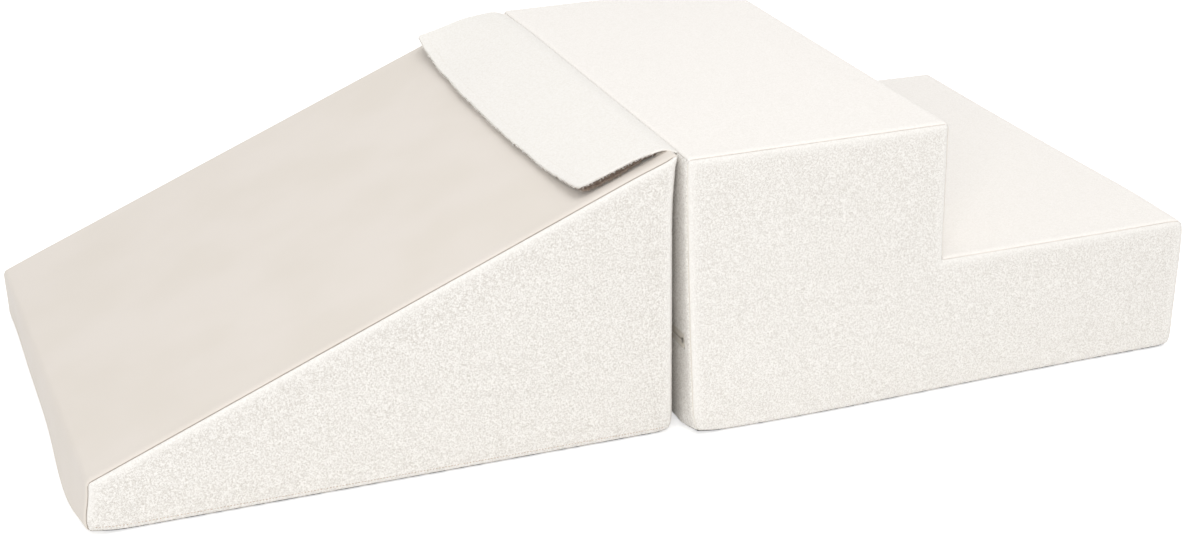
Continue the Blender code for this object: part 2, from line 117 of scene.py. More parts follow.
@dataclass(frozen=True)
class SetSizes:
    """Driving sizes of the two modules, in metres, the same as the solids'."""

    width: float = 0.570
    wedge_length: float = 0.598
    nose_height: float = 0.057
    steps_height: float = 0.300
    low_step_height: float = 0.150
    high_step_length: float = 0.290
    low_step_length: float = 0.290
    ridge_rise: float = 0.002
    gap: float = 0.012
    shift: float = 0.0105
    rounding: float = 0.006
    cover: float = 0.0025
    clearance: float = 0.0003
    zip_height: float = 0.0985
    zip_window: float = 0.016
    zip_end: float = 0.015

    @property
    def half_width(self) -> float:
        """Half the width of a module."""
        return self.width / 2

    @property
    def nose_x(self) -> float:
        """Place of the slide's foot."""
        return -(self.wedge_length + self.gap + self.high_step_length + self.low_step_length) / 2

    @property
    def wedge_back_x(self) -> float:
        """Place of the wedge's upright back."""
        return self.nose_x + self.wedge_length

    @property
    def steps_back_x(self) -> float:
        """Place of the steps' upright back."""
        return self.wedge_back_x + self.gap

    @property
    def riser_x(self) -> float:
        """Place of the riser between the two treads."""
        return self.steps_back_x + self.high_step_length

    @property
    def steps_end_x(self) -> float:
        """Place of the low step's end."""
        return self.riser_x + self.low_step_length

    @property
    def wedge_height(self) -> float:
        """Height of the wedge's sharp ridge before its rounding."""
        return self.steps_height + self.ridge_rise


@dataclass(frozen=True)
class SewnEdge:
    """How cloth behaves beside a seam.

    Attributes:
        pull: how deep the stitches draw the cloth in.
        reach: how far from the seam that shows.
        puff: how far the cloth stands proud just past the stitches.
        allowance: depth of the turned-in edge.
        gap: half the width of the slit between two panels.
    """

    pull: float = 0.0008
    reach: float = 0.0016
    puff: float = 0.00025
    allowance: float = 0.0016
    gap: float = 0.00012

    def depth(self, distance: float) -> float:
        """Height of the cloth at a distance from the seam."""
        drawn = self.pull * math.exp(-((distance / self.reach) ** 1.5))
        proud = self.puff * math.exp(-(((distance - 4.5 * self.reach) / (2.5 * self.reach)) ** 2))
        return proud - drawn


@dataclass(frozen=True)
class Fullness:
    """A place where the filling and the sewing move a cover away from its plain outline.

    Attributes:
        at: middle of the place.
        reach: how far it shows along each axis.
        push: how far the cover moves at the middle.
    """

    at: tuple[float, float, float]
    reach: tuple[float, float, float]
    push: tuple[float, float, float]

    def move(self, point: Vector) -> Vector:
        """How far a point of the cover moves."""
        away = sum(((here - middle) / reach) ** 2 for here, middle, reach in zip(point, self.at, self.reach))
        return Vector(self.push) * math.exp(-away)


@dataclass(frozen=True)
class Pile:
    """Relief of the looped cloth in the mesh: tufts with creases between them."""

    height: float = 0.00026
    size: float = 0.0038
    worm: float = 0.0018

    def rise(self, point: Vector) -> float:
        """Height of the pile at a point of the cloth."""
        bend = noise.noise_vector(point / (self.size * 1.2)) * self.worm
        near, far = noise.voronoi((point + bend) / self.size)[0][:2]
        return self.height * (min(1.0, (far - near) * 2.2) - 0.6)


def graded(stops: Sequence[float], pitch: float, fine: float = 0.0007) -> list[float]:
    """Places from the first stop to the last, close together beside each stop.

    Args:
        stops: places that must be met, in rising order.
        pitch: distance between places away from the stops.
        fine: first distance beside a stop.

    Returns:
        The places in rising order.
    """
    places = [stops[0]]
    for low, high in zip(stops, stops[1:]):
        steps, size, used = [], fine, 0.0
        while size < pitch and used + size < (high - low) / 2:
            steps.append(size)
            used += size
            size *= 1.4
        middle = high - low - 2 * used
        count = max(1, round(middle / pitch))
        for step in steps + [middle / count] * count + steps[::-1]:
            places.append(places[-1] + step)
        places[-1] = high
    return places


def crown(share: float) -> float:
    """Rise of a stuffed face, 0 at its edges and 1 at its middle."""
    return max(0.0, 1.0 - abs(2 * share - 1) ** 3)


def slack(point: Vector, height: float = 0.0006, length: float = 0.11) -> float:
    """Gentle unevenness of a cover over its foam."""
    return height * noise.noise(point / length)


def relief(point: Vector, to_seam: float, seam: SewnEdge, pile: Pile | None) -> float:
    """Height of sewn cloth at a distance from its seam: the seam's dip, the slack and the pile."""
    height = seam.depth(to_seam) + slack(point) * (1 - math.exp(-to_seam / SLACK_REACH))
    if pile:
        height += pile.rise(point) * min(1.0, to_seam / PILE_REACH)
    return height


def sliced(solid: bmesh.types.BMesh, axis: int, levels: Sequence[float]) -> None:
    """Cut a solid's faces at levels along an axis, so that they can follow a curve."""
    for level in levels:
        at, facing = Vector((0.0, 0.0, 0.0)), Vector((0.0, 0.0, 0.0))
        at[axis], facing[axis] = level, 1.0
        bmesh.ops.bisect_plane(solid, geom=solid.verts[:] + solid.edges[:] + solid.faces[:],
                               dist=0.000001, plane_co=at, plane_no=facing)


def placed(name: str, mesh: bpy.types.Mesh, finish: bpy.types.Material) -> bpy.types.Object:
    """Put a mesh in the scene as a smooth shaded piece with one finish."""
    mesh.materials.clear()
    mesh.materials.append(finish)
    mesh.shade_smooth()
    piece = bpy.data.objects.new(name, mesh)
    bpy.context.scene.collection.objects.link(piece)
    return piece


def new_piece(name: str, solid: bmesh.types.BMesh, finish: bpy.types.Material) -> bpy.types.Object:
    """Make a piece of a bmesh, which is freed."""
    mesh = bpy.data.meshes.new(name)
    solid.to_mesh(mesh)
    solid.free()
    return placed(name, mesh, finish)


def fitted(piece: bpy.types.Object, body: str, slot: str, nodes: Sequence[str] = ()) -> bpy.types.Object:
    """Let a piece ride on its body and stand for its solids."""
    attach(piece, body)
    if nodes:
        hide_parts(*nodes)
    LOG.info("%s: %d faces on %s", piece.name, len(piece.data.polygons), body)
    return piece


def cloth_sheet(columns: Sequence[float], rows: Sequence[float], place: Place, lift: Lift,
                keep: Keep = None, allowance: float = 0.0016,
                calm: Callable[[float, float], float] | None = None) -> bmesh.types.BMesh:
    """Grid of cloth laid over a surface, with its cut edges turned in.

    Args:
        columns: places along the cloth.
        rows: places across the cloth.
        place: gives the surface's point and outward normal for a column and a row.
        lift: gives the cloth's height over that point.
        keep: tells whether the cell round a column and row is part of the cloth.
        allowance: how deep the cut edges turn in.
        calm: tells how much of the cloth's pattern shows at a column and row, all of it if left out.

    Returns:
        The open sheet, its outer faces outwards, with the cut's own UV map in metres and the
        attribute pattern_share.
    """
    cloth = bmesh.new()
    cut = cloth.loops.layers.uv.new("cut")
    shown = cloth.verts.layers.float.new("pattern_share")
    across, along = len(columns) - 1, len(rows) - 1
    bmesh.ops.create_grid(cloth, x_segments=across, y_segments=along, size=1.0)
    spots, normals = {}, {}
    for vert in cloth.verts:
        column = columns[round((vert.co.x + 1) / 2 * across)]
        row = rows[round((vert.co.y + 1) / 2 * along)]
        point, normal = place(column, row)
        vert.co = point + normal * lift(column, row, point)
        vert[shown] = calm(column, row) if calm else 1.0
        spots[vert], normals[vert] = (column, row), normal
    for face in cloth.faces:
        for loop in face.loops:
            loop[cut].uv = spots[loop.vert]
    if keep:
        left_out = []
        for face in cloth.faces:
            middle = [sum(spots[vert][axis] for vert in face.verts) / len(face.verts) for axis in (0, 1)]
            if not keep(*middle):
                left_out.append(face)
        bmesh.ops.delete(cloth, geom=left_out, context="FACES")
    cloth.faces.ensure_lookup_table()
    cloth.normal_update()
    sample = cloth.faces[len(cloth.faces) // 2]
    if sample.normal.dot(normals[sample.verts[0]]) < 0:
        bmesh.ops.reverse_faces(cloth, faces=cloth.faces)
    rim = [edge for edge in cloth.edges if edge.is_boundary]
    grown = bmesh.ops.extrude_edge_only(cloth, edges=rim)
    turned = [item for item in grown["geom"] if isinstance(item, bmesh.types.BMVert)]
    for vert in turned:
        source = next(edge.other_vert(vert) for edge in vert.link_edges if edge.other_vert(vert) in normals)
        vert.co -= normals[source] * allowance
        vert[shown] = source[shown]
    return cloth


@dataclass
class Block:
    """One foam block in its cover: an XZ outline that runs anticlockwise, swept along Y.

    Attributes:
        name: word that the block's nodes start with.
        outline: corners of the outline, sharp.
        crowns: how far the filling presses out each edge's face.
        centre_y: middle of the block across its width.
        sizes: the set's sizes.
        seam_turn: angle from a wall's face round to the seam with the side panel.
        base_turn: angle from the base up to its seam.
        side_crown: how far the filling presses out the side faces.
        crown_reach: distance from the side's edge at which it is full.
        fullness: places where the cover leaves its plain outline.
        hem: level of the stitched hem line on the sides, or nothing.
        hem_dip: how deep that line draws the cloth in.
        hem_width: how far above and below it that shows.
        calm_edge: painted highlight, how much crease shade is taken away right beside the upper seams.
        calm_reach: how far from the seam that painted highlight shows.
        shown: how much of the pattern and its painted crease shade the sides show elsewhere.
    """

    name: str
    outline: list[Vector]
    crowns: tuple[float, ...]
    centre_y: float
    sizes: SetSizes
    seam_turn: float = math.radians(38)
    # this sets how much dark base shows at the foot, a painted contact shadow line
    base_turn: float = math.radians(40)
    side_crown: float = 0.0022
    crown_reach: float = 0.110
    fullness: tuple[Fullness, ...] = ()
    hem: float | None = None
    hem_dip: float = 0.0005
    hem_width: float = 0.0010
    # painted highlight: less painted crease shade beside the sides' upper seams
    calm_edge: float = 0.85
    calm_reach: float = 0.0075
    shown: float = 1.0
    inner: list[Vector] = field(init=False)
    known: dict = field(init=False, default_factory=dict)

    def __post_init__(self) -> None:
        """Work out the flat face's outline, inside the rounding."""
        moved = []
        for index in range(len(self.outline)):
            before, after = self.edge(index - 1), self.edge(index)
            first = before[0] + before[2] * self.sizes.rounding
            second = after[0] + after[2] * self.sizes.rounding
            gap = second - first
            turn = before[1].x * after[1].y - before[1].y * after[1].x
            moved.append(first + before[1] * ((gap.x * after[1].y - gap.y * after[1].x) / turn))
        self.inner = moved

    def edge(self, index: int) -> tuple[Vector, Vector, Vector, float]:
        """First corner, unit direction, unit inward normal and length of an edge."""
        count = len(self.outline)
        first = self.outline[index % count]
        run = self.outline[(index + 1) % count] - first
        direction = run.normalized()
        return first, direction, Vector((-direction.y, direction.x)), run.length

    def eased(self, point: Vector) -> Vector:
        """A point of the plain block, moved as the filling and the sewing move it."""
        return sum((place.move(point) for place in self.fullness), point)

    def rim_width(self, index: int) -> float:
        """How far the side panel's cloth reaches round the rounding beside an edge."""
        turn = self.base_turn if index % len(self.outline) == 0 else self.seam_turn
        return self.sizes.rounding * (math.pi / 2 - turn)

    def beyond(self, column: float, row: float) -> tuple[Vector, Vector, float, float]:
        """Where a spot of the unrolled side panel lies, against its flat face.

        Args:
            column: the spot's place along the side.
            row: its level.

        Returns:
            The nearest point of the flat face's rim, the way out from it, how far out the
            spot lies, which is negative inside, and how far it is from the panel's seam.
        """
        if (column, row) in self.known:
            return self.known[column, row]
        spot, count = Vector((column, row)), len(self.inner)
        best, inside = None, False
        for index in range(count):
            first, second = self.inner[index], self.inner[(index + 1) % count]
            run = second - first
            share = min(max((spot - first).dot(run) / run.length_squared, 0.0), 1.0)
            held = first + run * share
            away = (spot - held).length
            if best is None or away < best[0]:
                best = (away, index, share, held)
            if (first.y > row) != (second.y > row):
                if column < first.x + (row - first.y) / run.y * run.x:
                    inside = not inside
        away, index, share, held = best
        outward, rim = -self.edge(index)[2], self.rim_width(index)
        if inside or away < 1e-7:
            found = (held, outward, -away, rim + away)
        elif 0.0 < share < 1.0:
            found = (held, outward, away, rim - away)
        else:
            turned = index + (1 if share == 1.0 else count - 1)
            offset = spot - held
            reaches = (offset.dot(outward), offset.dot(-self.edge(turned)[2]))
            found = (held, offset.normalized(), max(reaches),
                     min(rim - reaches[0], self.rim_width(turned) - reaches[1]))
        self.known[column, row] = found
        return found

    @property
    def flat_half(self) -> float:
        """Half the width of the flat faces between the block's side roundings."""
        return self.sizes.half_width - self.sizes.rounding

    def turned(self, centre: Vector, outward: Vector, out: float, side: float, across: float,
               aside: float) -> tuple[Vector, Vector]:
        """Point and normal of the surface where it can turn over a side edge.

        Args:
            centre: place in the outline's plane that the surface turns about.
            outward: way out from it in that plane.
            out: how much the surface faces that way.
            side: -1 on the near side, 1 on the far side.
            across: distance from the block's middle.
            aside: how much the surface faces the side.

        Returns:
            The point, moved as the filling and the sewing move it, and the normal.
        """
        flat = centre + outward * self.sizes.rounding * out
        normal = Vector((outward.x * out, side * aside, outward.y * out))
        return self.eased(Vector((flat.x, self.centre_y + side * across, flat.y))), normal

    def side_place(self, side: Side) -> Place:
        """Surface of a side panel: flat, then round over the block's edges."""
        def place(column: float, row: float) -> tuple[Vector, Vector]:
            """Point and normal at a column and a row."""
            held, outward, distance, _ = self.beyond(column, row)
            if distance <= 0:
                return self.turned(Vector((column, row)), outward, 0.0, side.value,
                                   self.sizes.half_width, 1.0)
            turn = distance / self.sizes.rounding
            reach = self.flat_half + self.sizes.rounding * math.cos(turn)
            return self.turned(held, outward, math.sin(turn), side.value, reach, math.cos(turn))

        return place

    def side_lift(self, seam: SewnEdge, pile: Pile | None) -> Lift:
        """Height of the side panel's cloth: its crown, its seams, its hem line and its pile."""
        def lift(column: float, row: float, point: Vector) -> float:
            """Height at a column and a row."""
            distance, to_seam = self.beyond(column, row)[2:]
            inward = min(max(-distance + self.sizes.rounding, 0.0) / self.crown_reach, 1.0)
            height = self.side_crown * (1 - (1 - inward) ** 2)
            height += relief(point, max(to_seam, 0.0), seam, pile)
            if self.hem:
                height -= self.hem_dip * math.exp(-(((row - self.hem) / self.hem_width) ** 2))
            return height

        return lift

    def side_calm(self, column: float, row: float) -> float:
        """How much of the pattern shows: little beside the upper seams, which paints a highlight along the
        sides' upper edges.
        """
        to_seam = max(self.beyond(column, row)[3], 0.0)
        above_floor = min(max(row / 0.030, 0.0), 1.0)
        # painted highlight beside the upper seams, none near the floor
        lip_highlight_share = above_floor * self.calm_edge * math.exp(-((to_seam / self.calm_reach) ** 2))
        return self.shown * (1 - lip_highlight_share)


@dataclass
class Wall:
    """The run of a wall panel over a block's edges, from one seam to the other.

    Attributes:
        block: the block.
        first: the panel's first edge.
        last: its last edge.
        start: how it ends at its first corner.
        stop: how it ends at its last corner.
        path: its straight stretches, as (length, start, direction, outward, edge, place along
            the edge), and its roundings, as (length, centre, from angle, to angle).
    """

    block: Block
    first: int
    last: int
    start: Corner
    stop: Corner
    path: list[tuple] = field(init=False, default_factory=list)

    def __post_init__(self) -> None:
        """Follow the edges and roundings, and measure the run."""
        block, count = self.block, len(self.block.outline)
        rounding, base = block.sizes.rounding, block.base_turn / (math.pi / 2)
        shares = {Corner.MITRE: 0.5, Corner.BASE: base, Corner.ABOVE_BASE: 1 - base}
        if self.start is not Corner.INNER:
            self.add_rounding(self.first, 1 - shares[self.start], 1.0)
        for index in range(self.first, self.last + 1):
            corner, direction, inward, _ = block.edge(index)
            begin, end = block.inner[index % count], block.inner[(index + 1) % count]
            if index == self.first and self.start is Corner.INNER:
                begin = begin + direction * rounding
            if index == self.last and self.stop is Corner.INNER:
                end = end - direction * rounding
            self.path.append(((end - begin).length, begin, direction, -inward, index % count,
                              (begin - corner).dot(direction)))
            if index < self.last:
                self.add_rounding(index + 1, 0.0, 1.0)
        if self.stop is not Corner.INNER:
            self.add_rounding(self.last + 1, 0.0, shares[self.stop])
        self.whole = sum(stretch[0] for stretch in self.path)

    def add_rounding(self, corner: int, low: float, high: float) -> None:
        """Add a part of the rounding at a corner, between two shares of its turn."""
        block = self.block
        before, after = -block.edge(corner - 1)[2], -block.edge(corner)[2]
        begin = math.atan2(before.y, before.x)
        turn = (math.atan2(after.y, after.x) - begin) % (2 * math.pi)
        self.path.append((turn * (high - low) * block.sizes.rounding, block.inner[corner % len(block.inner)],
                          begin + turn * low, begin + turn * high))

    def stretch_at(self, column: float) -> tuple[tuple, float]:
        """The stretch at a distance from the first seam, and how far along it that is."""
        left = min(max(column, 0.0), self.whole)
        for stretch in self.path:
            if left <= stretch[0] or stretch is self.path[-1]:
                break
            left -= stretch[0]
        return stretch, left

    def place(self, column: float, row: float) -> tuple[Vector, Vector]:
        """Point and normal of the surface, which turns over the block's side edges."""
        block, rounding = self.block, self.block.sizes.rounding
        stretch, left = self.stretch_at(column)
        turn = max(0.0, abs(row) - block.flat_half) / rounding
        if len(stretch) == 4:
            angle = stretch[2] + (stretch[3] - stretch[2]) * left / stretch[0]
            centre, outward = stretch[1], Vector((math.cos(angle), math.sin(angle)))
        else:
            centre, outward = stretch[1] + stretch[2] * left, stretch[3]
            drop = rounding * (1 - math.cos(turn))
            if self.start is Corner.INNER:
                centre = centre - stretch[2] * drop * max(0.0, 1 - column / INNER_REACH)
            if self.stop is Corner.INNER:
                centre = centre + stretch[2] * drop * max(0.0, 1 - (self.whole - column) / INNER_REACH)
        across = min(abs(row), block.flat_half) + rounding * math.sin(turn)
        return block.turned(centre, outward, math.cos(turn), math.copysign(1.0, row), across,
                            math.sin(turn))

    def lift(self, reach: float, seam: SewnEdge, pile: Pile | None) -> Lift:
        """Height of the panel's cloth: its crown, its seams and its pile."""
        def height(column: float, row: float, point: Vector) -> float:
            """Height at a column and a row."""
            block, (stretch, left) = self.block, self.stretch_at(column)
            swell = 0.0
            if len(stretch) == 6:
                along = (stretch[5] + left) / block.edge(stretch[4])[3]
                swell = block.crowns[stretch[4]] * crown(along) * crown(row / block.sizes.width + 0.5)
            to_seam = max(0.0, min(column, self.whole - column, reach - abs(row)))
            return swell + relief(point, to_seam, seam, pile)

        return height


class Bench:
    """Lays out the nodes of one material or one shared group."""

    def __init__(self, tree: bpy.types.NodeTree) -> None:
        """Work on a node tree."""
        self.tree = tree

    def node(self, kind: str, settings: dict[str, object] | None = None,
             **inputs: object) -> bpy.types.Node:
        """Add a node.

        Args:
            kind: the node's type, without its first words.
            settings: its properties.
            **inputs: values or sockets for its inputs, named with _ for a space.

        Returns:
            The node.
        """
        made = self.tree.nodes.new("ShaderNode" + kind)
        for name, value in (settings or {}).items():
            setattr(made, name, value)
        for name, value in inputs.items():
            self.feed(made.inputs[name.replace("_", " ")], value)
        return made

    def feed(self, socket: Socket, value: object) -> None:
        """Join another node's output to a socket, or set the socket's own value."""
        if isinstance(value, bpy.types.NodeSocket):
            self.tree.links.new(value, socket)
        else:
            socket.default_value = value

    def sum(self, operation: str, *values: object, clamp: bool = False) -> Socket:
        """Arithmetic on one to three values."""
        made = self.node("Math", {"operation": operation, "use_clamp": clamp})
        for socket, value in zip(made.inputs, values):
            self.feed(socket, value)
        return made.outputs[0]

    def vector(self, operation: str, first: object, second: object) -> Socket:
        """Arithmetic on two vectors, or a vector and a scale."""
        made = self.node("VectorMath", {"operation": operation})
        self.feed(made.inputs[0], first)
        self.feed(made.inputs["Scale"] if operation == "SCALE" else made.inputs[1], second)
        return made.outputs[0]

    def ramp(self, value: Socket, low: float, high: float, to_low: float = 0.0,
             to_high: float = 1.0) -> Socket:
        """Smooth change from one value to another between two limits."""
        made = self.node("MapRange", {"interpolation_type": "SMOOTHSTEP"}, Value=value,
                         From_Min=low, From_Max=high, To_Min=to_low, To_Max=to_high)
        return made.outputs[0]

    def mixed(self, share: object, first: object, second: object) -> Socket:
        """Colour between two colours."""
        made = self.node("Mix", {"data_type": "RGBA"})
        for socket, value in zip((made.inputs[0], made.inputs[6], made.inputs[7]), (share, first, second)):
            self.feed(socket, value)
        return made.outputs[2]


def group(name: str, inputs: dict[str, object],
          outputs: Sequence[str]) -> tuple[Bench, bpy.types.Node, bpy.types.Node]:
    """Start a shared shader group.

    Args:
        name: the group's name.
        inputs: its inputs with their defaults; None makes a vector input.
        outputs: names of its number outputs.

    Returns:
        The bench, the group's input node and its output node.
    """
    tree = bpy.data.node_groups.new(name, "ShaderNodeTree")
    for label, value in inputs.items():
        kind = "NodeSocketVector" if value is None else "NodeSocketFloat"
        socket = tree.interface.new_socket(label, in_out="INPUT", socket_type=kind)
        if value is not None:
            socket.default_value = value
    for label in outputs:
        tree.interface.new_socket(label, in_out="OUTPUT", socket_type="NodeSocketFloat")
    return Bench(tree), tree.nodes.new("NodeGroupInput"), tree.nodes.new("NodeGroupOutput")


def curled_loops() -> bpy.types.NodeTree:
    """Group of short curly loops with fine broken creases between them, whose crease output masks the painted
    shade in the creases.
    """
    bench, given, out = group("curled_loops", {"Vector": None, "Loop": 0.004},
                              ("Crease Shade", "Height", "Tone"))
    frequency = bench.sum("DIVIDE", 1.0, given.outputs["Loop"])
    layers = []
    for turns, stray, finer in ((0.9, 0.0, 1.0), (1.2, 3.7, 1.45)):
        scale = bench.sum("MULTIPLY", frequency, finer)
        moved = bench.vector("ADD", given.outputs["Vector"], (stray, stray * 0.7, -stray))
        bend = bench.node("TexNoise", Vector=moved, Scale=bench.sum("MULTIPLY", scale, 0.9), Detail=1.0)
        centred = bench.vector("SUBTRACT", bend.outputs["Color"], (0.5, 0.5, 0.5))
        curl = bench.vector("SCALE", centred, bench.sum("DIVIDE", turns, scale))
        cells = bench.node("TexVoronoi", {"feature": "DISTANCE_TO_EDGE"},
                           Vector=bench.vector("ADD", moved, curl), Scale=scale)
        broken = bench.node("TexNoise", Vector=moved, Scale=bench.sum("MULTIPLY", scale, 1.1), Detail=0.0)
        line = bench.ramp(cells.outputs["Distance"], 0.02, 0.16, 1.0, 0.0)
        shown = bench.sum("MULTIPLY", line, bench.ramp(broken.outputs["Fac"], 0.44, 0.56))
        layers.append((shown, bench.ramp(cells.outputs["Distance"], 0.0, 0.35)))
    (first, dome), (second, small) = layers
    # painted shade: this mask darkens the creases between the loops
    crease_shade = bench.sum("MAXIMUM", first, bench.sum("MULTIPLY", second, 0.8))
    hairs = bench.node("TexNoise", Vector=given.outputs["Vector"],
                       Scale=bench.sum("MULTIPLY", frequency, 1.6), Detail=2.0, Roughness=0.7)
    height = bench.sum("ADD", bench.sum("MULTIPLY", dome, 0.6), bench.sum("MULTIPLY", small, 0.4))
    height = bench.sum("ADD", height, bench.sum("MULTIPLY", hairs.outputs["Fac"], 0.35))
    bench.feed(out.inputs["Crease Shade"], crease_shade)
    bench.feed(out.inputs["Height"], height)
    bench.feed(out.inputs["Tone"], hairs.outputs["Fac"])
    return bench.tree


def crossed_yarns() -> bpy.types.NodeTree:
    """Group of a plain weave on a flat pattern, with uneven yarns."""
    bench, given, out = group("crossed_yarns", {"Vector": None, "Yarn": 0.0008}, ("Height", "Tone"))
    frequency = bench.sum("DIVIDE", math.pi, given.outputs["Yarn"])
    apart = bench.node("SeparateXYZ", Vector=given.outputs["Vector"])
    waves = [bench.sum("SINE", bench.sum("MULTIPLY", apart.outputs[axis], frequency)) for axis in (0, 1)]
    over = bench.sum("MULTIPLY", *waves)
    height = bench.ramp(over, -1.0, 1.0)
    uneven = bench.node("TexNoise", Vector=given.outputs["Vector"],
                        Scale=bench.sum("DIVIDE", 0.4, given.outputs["Yarn"]), Detail=2.0)
    thicker = bench.sum("MULTIPLY", uneven.outputs["Fac"], 0.5)
    bench.feed(out.inputs["Height"], bench.sum("ADD", height, thicker))
    bench.feed(out.inputs["Tone"], uneven.outputs["Fac"])
    return bench.tree


def pebbled_grain() -> bpy.types.NodeTree:
    """Group of a fine pebbled grain, as on smooth coated cloth, and of open foam cells."""
    bench, given, out = group("pebbled_grain", {"Vector": None, "Pebble": 0.0012}, ("Height", "Tone"))
    frequency = bench.sum("DIVIDE", 1.0, given.outputs["Pebble"])
    cells = bench.node("TexVoronoi", {"feature": "SMOOTH_F1"}, Vector=given.outputs["Vector"],
                       Scale=frequency, Smoothness=0.6)
    patches = bench.node("TexNoise", Vector=given.outputs["Vector"], Scale=9.0, Detail=2.0)
    bench.feed(out.inputs["Height"], bench.sum("SUBTRACT", 1.0, cells.outputs["Distance"]))
    bench.feed(out.inputs["Tone"], patches.outputs["Fac"])
    return bench.tree


def linear(colour: tuple[int, int, int]) -> tuple[float, float, float, float]:
    """Linear colour of an 8-bit display colour."""
    values = [value / 255 for value in colour]
    return tuple(v / 12.92 if v <= 0.04045 else ((v + 0.055) / 1.055) ** 2.4 for v in values) + (1.0,)


@dataclass(frozen=True)
class Finish:
    """A finish: its name, colours and gloss, and what every finish shares.

    Attributes:
        name: the material's name.
        colour: its main colour as 8-bit display values.
        second: by finish, the colour of the painted shade in its creases and hollows, of its dots, or of its
            dark or rubbed patches.
        roughness: how matte it is.
        grain: size of its pattern in metres.
        relief: depth of that pattern in metres.
        contrast: how strongly the second colour shows.
        sheen: how much the fibres' fuzz brightens at grazing angles.
    """

    name: str
    colour: tuple[int, int, int]
    second: tuple[int, int, int]
    roughness: float = 0.9
    grain: float = 0.005
    relief: float = 0.0004
    contrast: float = 0.5
    sheen: float = 0.0

    def material(self) -> bpy.types.Material:
        """The finish's material, made the first time that a piece asks for it."""
        if self.name in bpy.data.materials:
            return bpy.data.materials[self.name]
        made = bpy.data.materials.new(self.name)
        made.use_nodes = True
        bench = Bench(made.node_tree)
        shader = made.node_tree.nodes["Principled BSDF"]
        shader.inputs["Roughness"].default_value = self.roughness
        shader.inputs["Sheen Weight"].default_value = self.sheen
        shader.inputs["Sheen Roughness"].default_value = 0.4
        made.diffuse_color = linear(self.colour)
        self.dress(bench, shader)
        return made

    def dress(self, bench: Bench, shader: bpy.types.Node) -> None:
        """Lay out the finish's own pattern."""
        raise NotImplementedError

    def shared(self, bench: Bench, layout: Callable[[], bpy.types.NodeTree],
               **inputs: object) -> bpy.types.Node:
        """Place a shared group, laid out the first time that a finish asks for it, with its values."""
        made = bench.tree.nodes.new("ShaderNodeGroup")
        made.node_tree = bpy.data.node_groups.get(layout.__name__) or layout()
        for name, value in inputs.items():
            bench.feed(made.inputs[name], value)
        return made

    def coloured(self, bench: Bench, shader: bpy.types.Node, share: Socket) -> None:
        """Give the shader the main colour, and the second one by a share."""
        mixed = bench.mixed(share, linear(self.colour), linear(self.second))
        bench.feed(shader.inputs["Base Color"], mixed)

    def hollowed(self, bench: Bench, shader: bpy.types.Node, pattern: bpy.types.Node, low: float,
                 high: float) -> None:
        """Give the shader a pattern's relief, with the second colour painted in its hollows as shade.

        Args:
            bench: where the material is laid out.
            shader: its shader.
            pattern: the shared group that makes the relief.
            low: height under which the second colour is full.
            high: height over which it is gone.
        """
        # painted shade: the second colour fills the pattern's low parts
        hollow_shade = bench.ramp(pattern.outputs["Height"], low, high, 1.0, 0.0)
        self.coloured(bench, shader, bench.sum("MULTIPLY", hollow_shade, self.contrast))
        self.bump(bench, shader, pattern.outputs["Height"])

    def bump(self, bench: Bench, shader: bpy.types.Node, height: Socket) -> None:
        """Give the shader a relief."""
        made = bench.node("Bump", Height=height, Distance=self.relief)
        bench.feed(shader.inputs["Normal"], made.outputs["Normal"])


@dataclass(frozen=True)
class LoopedCloth(Finish):
    """Ivory cloth with a curly looped pile."""

    def dress(self, bench: Bench, shader: bpy.types.Node) -> None:
        """Painted shade in the curly creases between loops, with finer hairs, both less where the pattern
        share is low, which paints a highlight beside the sides' upper seams.
        """
        where = bench.node("TexCoord").outputs["Object"]
        loops = self.shared(bench, curled_loops, Vector=where, Loop=self.grain)
        shown = bench.node("Attribute", {"attribute_name": "pattern_share"}).outputs["Fac"]
        hairs = bench.ramp(loops.outputs["Tone"], 0.34, 0.50, 0.80, 0.0)
        share = bench.sum("MAXIMUM", loops.outputs["Crease Shade"], hairs)
        share = bench.sum("MULTIPLY", share, bench.sum("MULTIPLY", shown, self.contrast))
        self.coloured(bench, shader, share)
        self.bump(bench, shader, loops.outputs["Height"])


@dataclass(frozen=True)
class CoatedCloth(Finish):
    """Smooth matte coated cloth with a very fine grain."""

    def dress(self, bench: Bench, shader: bpy.types.Node) -> None:
        """A fine pebbled relief with faint broad changes of tone and gloss."""
        where = bench.node("TexCoord").outputs["Object"]
        grain = self.shared(bench, pebbled_grain, Vector=where, Pebble=self.grain)
        share = bench.ramp(grain.outputs["Tone"], 0.3, 0.7, 0.0, self.contrast)
        self.coloured(bench, shader, share)
        gloss = bench.ramp(grain.outputs["Tone"], 0.3, 0.7, self.roughness - 0.04, self.roughness + 0.04)
        bench.feed(shader.inputs["Roughness"], gloss)
        self.bump(bench, shader, grain.outputs["Height"])


@dataclass(frozen=True)
class WovenCloth(Finish):
    """Plain woven cloth or tape that follows its own cut."""

    def dress(self, bench: Bench, shader: bpy.types.Node) -> None:
        """Crossed yarns, with painted shade in the hollows."""
        where = bench.node("UVMap", {"uv_map": "cut"}).outputs["UV"]
        weave = self.shared(bench, crossed_yarns, Vector=where, Yarn=self.grain)
        self.hollowed(bench, shader, weave, 0.2, 1.1)


